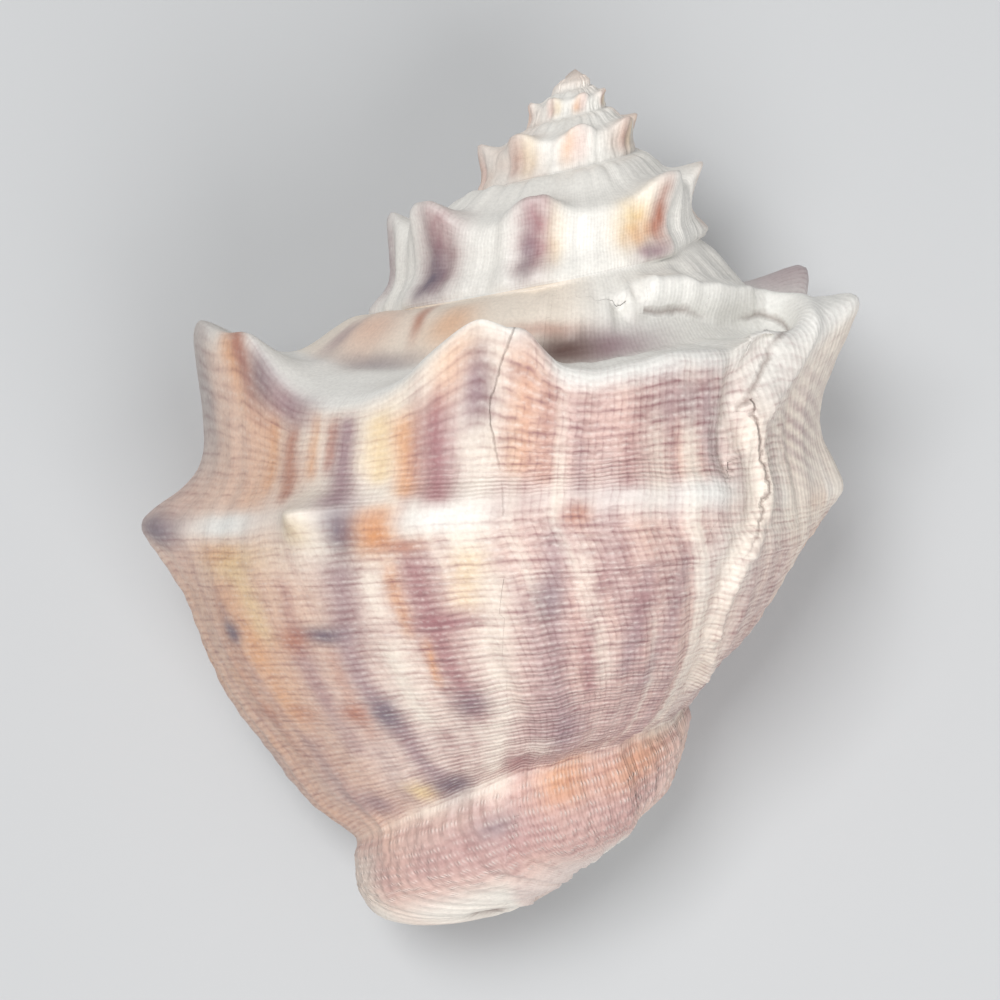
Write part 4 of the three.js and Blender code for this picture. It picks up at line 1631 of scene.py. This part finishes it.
    def _lip_shade_lines(self, draft: NodeDraft, p: Pattern) -> Socket:
        """Painted shade lines in the old lips, thin, dark and broken by noise, and the crack's only in
        its upper part.
        """
        step_width, fold_width, crack_width = self.lip_shade_widths
        ragged = draft.plus(draft.noise(p.place, self.ragged_scale, 3.0), 1.3, -0.65)
        step_line = self._lip_shade_line(draft, 0, step_width, draft.times(ragged, 0.5))
        fold_line = self._lip_shade_line(draft, 1, fold_width, draft.plus(ragged, 0.5, self.fold_shift))
        upper = draft.contrast(p.straight, self.crack_end)
        crack_line = draft.times(self._lip_shade_line(draft, 2, crack_width, ragged), upper)
        broken = draft.contrast(p.broad, self.breaks)
        lip_shade = draft.times(crack_line, draft.plus(broken, 0.55, 0.12))
        lip_shade = draft.plus(step_line, draft.times(broken, 0.4), lip_shade, clamp=True)
        return draft.plus(fold_line, draft.times(broken, 0.55), lip_shade, clamp=True)

    def _bump(self, draft: NodeDraft, p: Pattern, tinted: Socket, bead: Socket, lip_shade: Socket) -> Socket:
        """Raise threads, growth lines, beads and grain a little, and press the old lips' shaded lines in.
        """
        shown = draft.plus(tinted, 0.8, 0.2)
        height = draft.times(p.thread, p.threaded, shown)
        height = draft.plus(draft.times(p.line, p.lined), 0.35, height)
        for value, factor in ((bead, 1.2), (p.grain, 0.3), (lip_shade, -4.0)):
            height = draft.plus(value, factor, height)
        bump = draft.add("ShaderNodeBump")
        draft.put(bump.inputs["Distance"], self.thread_depth)
        draft.put(bump.inputs["Height"], height)
        return bump.outputs[0]

    @staticmethod
    def _lip_shade_line(draft: NodeDraft, number: int, width: float, moved: Socket) -> Socket:
        """Draw an old lip's thin line of painted shade: 1 - |x| / width at the moved distance x from it.

        Args:
            draft: the material.
            number: which of the old lips.
            width: half the line's width in millimetres.
            moved: how far the line is moved towards the older side, in millimetres.

        Returns:
            The line's darkness.
        """
        away = draft.parts("ShaderNodeAttribute", "Vector", attribute_name="lip_distances")[number]
        off = draft.math("ABSOLUTE", draft.math("ADD", away, moved))
        return draft.math("SUBTRACT", 1.0, draft.math("DIVIDE", off, width), clamp=True)


class RockShell:
    """The whole shell as one closed piece."""

    shown_ends = 0.3
    farthest = 20.0
    hidden = 60.0

    def __init__(self, coil: Coil, rest: Rest) -> None:
        """Keep the coil and the way it rests."""
        self.coil = coil
        self.rest = rest
        self.skin = Skin()

    def build(self) -> bpy.types.Object:
        """Build the mesh with its relief, UV map and paint.

        Returns:
            The shell's object, at the origin.
        """
        chart, rows = Sheet(self.coil).build(self.skin)
        Tube(self.coil).build(self.skin, chart, rows)
        points, vertex, places, triangles = self.skin.gathered()
        faces = vertex[triangles]
        chart_points = points[vertex]
        height = np.zeros(len(points))
        height[vertex] = Relief(self.coil).height(chart_points, places)
        points = points + self._normals(points, faces) * height[:, None]
        mesh = bpy.data.meshes.new("shell_body")
        mesh.from_pydata((self.rest.apply(points) * MM).tolist(), [], faces.tolist())
        mesh.polygons.foreach_set("use_smooth", np.ones(len(mesh.polygons), dtype=bool))
        corners = triangles.reshape(-1)
        self._map(mesh, places[corners])
        self._paint(mesh, Paint(self.coil).colours(chart_points, places)[corners], places[corners])
        self._feel(mesh, places[corners])
        self._lip_shade_lines(mesh, places, corners)
        mesh.update()
        shell = bpy.data.objects.new("shell_body", mesh)
        bpy.context.scene.collection.objects.link(shell)
        log.info("shell_body: %d vertices, %d triangles", len(points), len(faces))
        return shell

    @staticmethod
    def _normals(points: Array, faces: Array) -> Array:
        """Vertex normals: the sum of the cross products of the faces round each vertex, to length 1."""
        a, b, c = (points[faces[:, n]] for n in range(3))
        cross = np.cross(b - a, c - a)
        total = np.zeros_like(points)
        for corner in range(3):
            np.add.at(total, faces[:, corner], cross)
        return unit_rows(total)

    def _map(self, mesh: bpy.types.Mesh, places: Array) -> None:
        """Give each corner its growth angle and its distance along the outline as a UV map."""
        angle, position, inside = places.T
        grown = angle + curve_through(self.coil.lags, position)
        uv = np.stack([grown, self.coil.along(position) + inside], axis=-1)
        layer = mesh.uv_layers.new(name="growth")
        layer.data.foreach_set("uv", uv.astype(np.float32).reshape(-1))

    @staticmethod
    def _paint(mesh: bpy.types.Mesh, colours: Array, places: Array) -> None:
        """Store the colours on the corners, with the share of beads as their alpha."""
        layer = mesh.color_attributes.new("paint", "FLOAT_COLOR", "CORNER")
        _, position, inside = places.T
        beads = plateau(position, (12.9, 13.3), (15.2, 15.9)) * (inside < 0.5)
        rgba = np.concatenate([colours, beads[:, None]], axis=1)
        layer.data.foreach_set("color", rgba.astype(np.float32).reshape(-1))

    def _lip_shade_lines(self, mesh: bpy.types.Mesh, places: Array, corners: Array) -> None:
        """Store the distance to each old lip at each corner, which places its line of painted shade, or a
        far one where its line is hidden.
        """
        angle, position, _ = places.T
        along = self.coil.along(position)
        away = np.where(angle > self.coil.last_start + 8.0, 0.0, 1.0)
        columns = []
        for lip in OLD_LIPS:
            x, ends = lip.distance(angle, along)
            kept = np.clip(x, -self.farthest, self.farthest)
            columns.append(np.where(ends > self.shown_ends, kept, self.hidden) + self.hidden * away)
        self._store(mesh, "lip_distances", np.stack(columns, axis=-1)[corners])

    def _feel(self, mesh: bpy.types.Mesh, places: Array) -> None:
        """Store how strong the threads, the growth lines and the gloss are at each corner."""
        angle, position, inside = places.T
        outside = 1.0 - smooth_ramp(inside, 0.0, 1.5)
        spire = 1.0 - 0.45 * smooth_ramp(-angle, 236.0, 260.0)
        ribbon = smooth_ramp(position, 12.8, 13.4)
        threads = smooth_ramp(position, 2.6, 3.6) * (1.0 - 0.75 * ribbon) + 0.12
        newer_flank = smooth_ramp(angle, 8.0, 20.0) * (1.0 - smooth_ramp(position, 6.4, 8.0))
        newer_base = smooth_ramp(angle, 24.0, 44.0) * smooth_ramp(position, 6.8, 8.0)
        grown = smooth_ramp(self.coil.growth(angle), 0.07, 0.3)
        threads = threads * (1.0 - 0.5 * newer_flank) * (1.0 - 0.35 * newer_base) * grown
        smooth_keel = 1.0 - 0.6 * bell((position - 6.1) / 0.5)
        behind = smooth_ramp(-angle, 52.0, 60.0) * (1.0 - smooth_ramp(position, 6.2, 7.2))
        behind_fold = 1.0 - 0.7 * behind
        lines = 0.35 + 0.65 * smooth_ramp(-angle, -14.0, 0.0)
        lines = lines * (0.45 + 0.55 * smooth_ramp(position, 2.4, 3.2)) * grown
        threads = threads * outside * spire * smooth_keel * behind_fold
        self._store(mesh, "feel", np.stack([threads, lines * outside * spire, 1.0 - outside], axis=-1))

    @staticmethod
    def _store(mesh: bpy.types.Mesh, name: str, values: Array) -> None:
        """Store three values at each corner."""
        layer = mesh.attributes.new(name, "FLOAT_VECTOR", "CORNER")
        layer.data.foreach_set("vector", values.astype(np.float32).reshape(-1))


@dataclass(frozen=True)
class Studio:
    """A pale floor, soft lights and a bright surround. Metres and watts."""

    floor_size: float = 3.0
    floor_colour: Colour = (0.55, 0.56, 0.57, 1.0)
    floor_roughness: float = 0.8
    key_place: Place = (-0.16, 0.12, 0.82)
    key_size: float = 0.35
    key_power: float = 4.2
    fill_place: Place = (0.3, -0.5, 0.6)
    fill_size: float = 0.5
    fill_power: float = 4.0
    surround: float = 0.3
    surround_colour: Colour = (1.0, 1.0, 1.0, 1.0)
    target: Place = (0.0, 0.0, 0.03)

    def build(self) -> None:
        """Make the floor, the lights and the surround."""
        mesh = bpy.data.meshes.new("floor")
        h = self.floor_size / 2.0
        mesh.from_pydata([(-h, -h, 0), (h, -h, 0), (h, h, 0), (-h, h, 0)], [], [(0, 1, 2, 3)])
        floor = bpy.data.objects.new("floor", mesh)
        bpy.context.scene.collection.objects.link(floor)
        material = bpy.data.materials.new("pale_floor")
        material.use_nodes = True
        shader = material.node_tree.nodes["Principled BSDF"]
        shader.inputs["Base Color"].default_value = self.floor_colour
        shader.inputs["Roughness"].default_value = self.floor_roughness
        mesh.materials.append(material)
        self._light("key", self.key_place, self.key_size, self.key_power)
        self._light("fill", self.fill_place, self.fill_size, self.fill_power)
        world = bpy.data.worlds.new("surround")
        world.use_nodes = True
        background = world.node_tree.nodes["Background"]
        background.inputs["Color"].default_value = self.surround_colour
        background.inputs["Strength"].default_value = self.surround
        bpy.context.scene.world = world
        bpy.context.scene.view_settings.view_transform = "Standard"

    def _light(self, name: str, place: Place, size: float, power: float) -> None:
        """Make a soft square light that points at the shell."""
        data = bpy.data.lights.new(name, "AREA")
        data.size = size
        data.energy = power
        light = bpy.data.objects.new(name, data)
        turn = (Vector(self.target) - Vector(place)).to_track_quat("-Z", "Y")
        light.matrix_world = Matrix.Translation(place) @ turn.to_matrix().to_4x4()
        bpy.context.scene.collection.objects.link(light)


@dataclass(frozen=True)
class PhotoCamera:
    """The camera of the photograph, in a frame whose Z points to it and whose Y is up in the picture.

    tilt and dip turn the shell's axis in that frame, and apex is where the axis starts. Lengths are
    millimetres, but clip, the nearest and farthest distance that is drawn, is in metres.
    """

    distance: float = 320.0
    half_width: float = 58.4
    tilt: float = 3.0
    dip: float = 6.0
    apex: Place = (8.6, 49.7, 8.0)
    sensor: float = 36.0
    clip: Pair = (0.01, 10.0)

    def build(self, rest: Rest) -> bpy.types.Object:
        """Make the camera where the photograph was taken from.

        Args:
            rest: how the shell lies.

        Returns:
            The camera.
        """
        tilt, dip = math.radians(self.tilt), math.radians(self.dip)
        level = math.cos(dip)
        down = Vector((-math.sin(tilt) * level, -math.cos(tilt) * level, -math.sin(dip)))
        across = Vector((math.cos(tilt), -math.sin(tilt), 0.0))
        facing = down.cross(across)
        shell_in_picture = Matrix((across, -down, facing)).transposed().to_4x4()
        shell_in_picture.translation = Vector(self.apex)
        camera_in_picture = Matrix.Translation((0.0, 0.0, self.distance))
        placed = rest.matrix() @ shell_in_picture.inverted() @ camera_in_picture
        placed.translation = placed.translation * MM
        data = bpy.data.cameras.new("camera")
        data.sensor_width = self.sensor
        data.lens = self.sensor / 2.0 * self.distance / self.half_width
        data.clip_start, data.clip_end = self.clip
        camera = bpy.data.objects.new("camera", data)
        camera.matrix_world = placed
        bpy.context.scene.collection.objects.link(camera)
        bpy.context.scene.camera = camera
        return camera


def main() -> None:
    """Build the shell, its stage, lights and camera."""
    logging.basicConfig(level=logging.INFO, format="%(name)s %(message)s")
    rest = Rest()
    shell = RockShell(Coil(), rest).build()
    shell.data.materials.append(ShellFinish().build())
    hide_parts("shell")
    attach(shell, "root")
    Studio().build()
    PhotoCamera().build(rest)


if __name__ == "__main__":
    main()
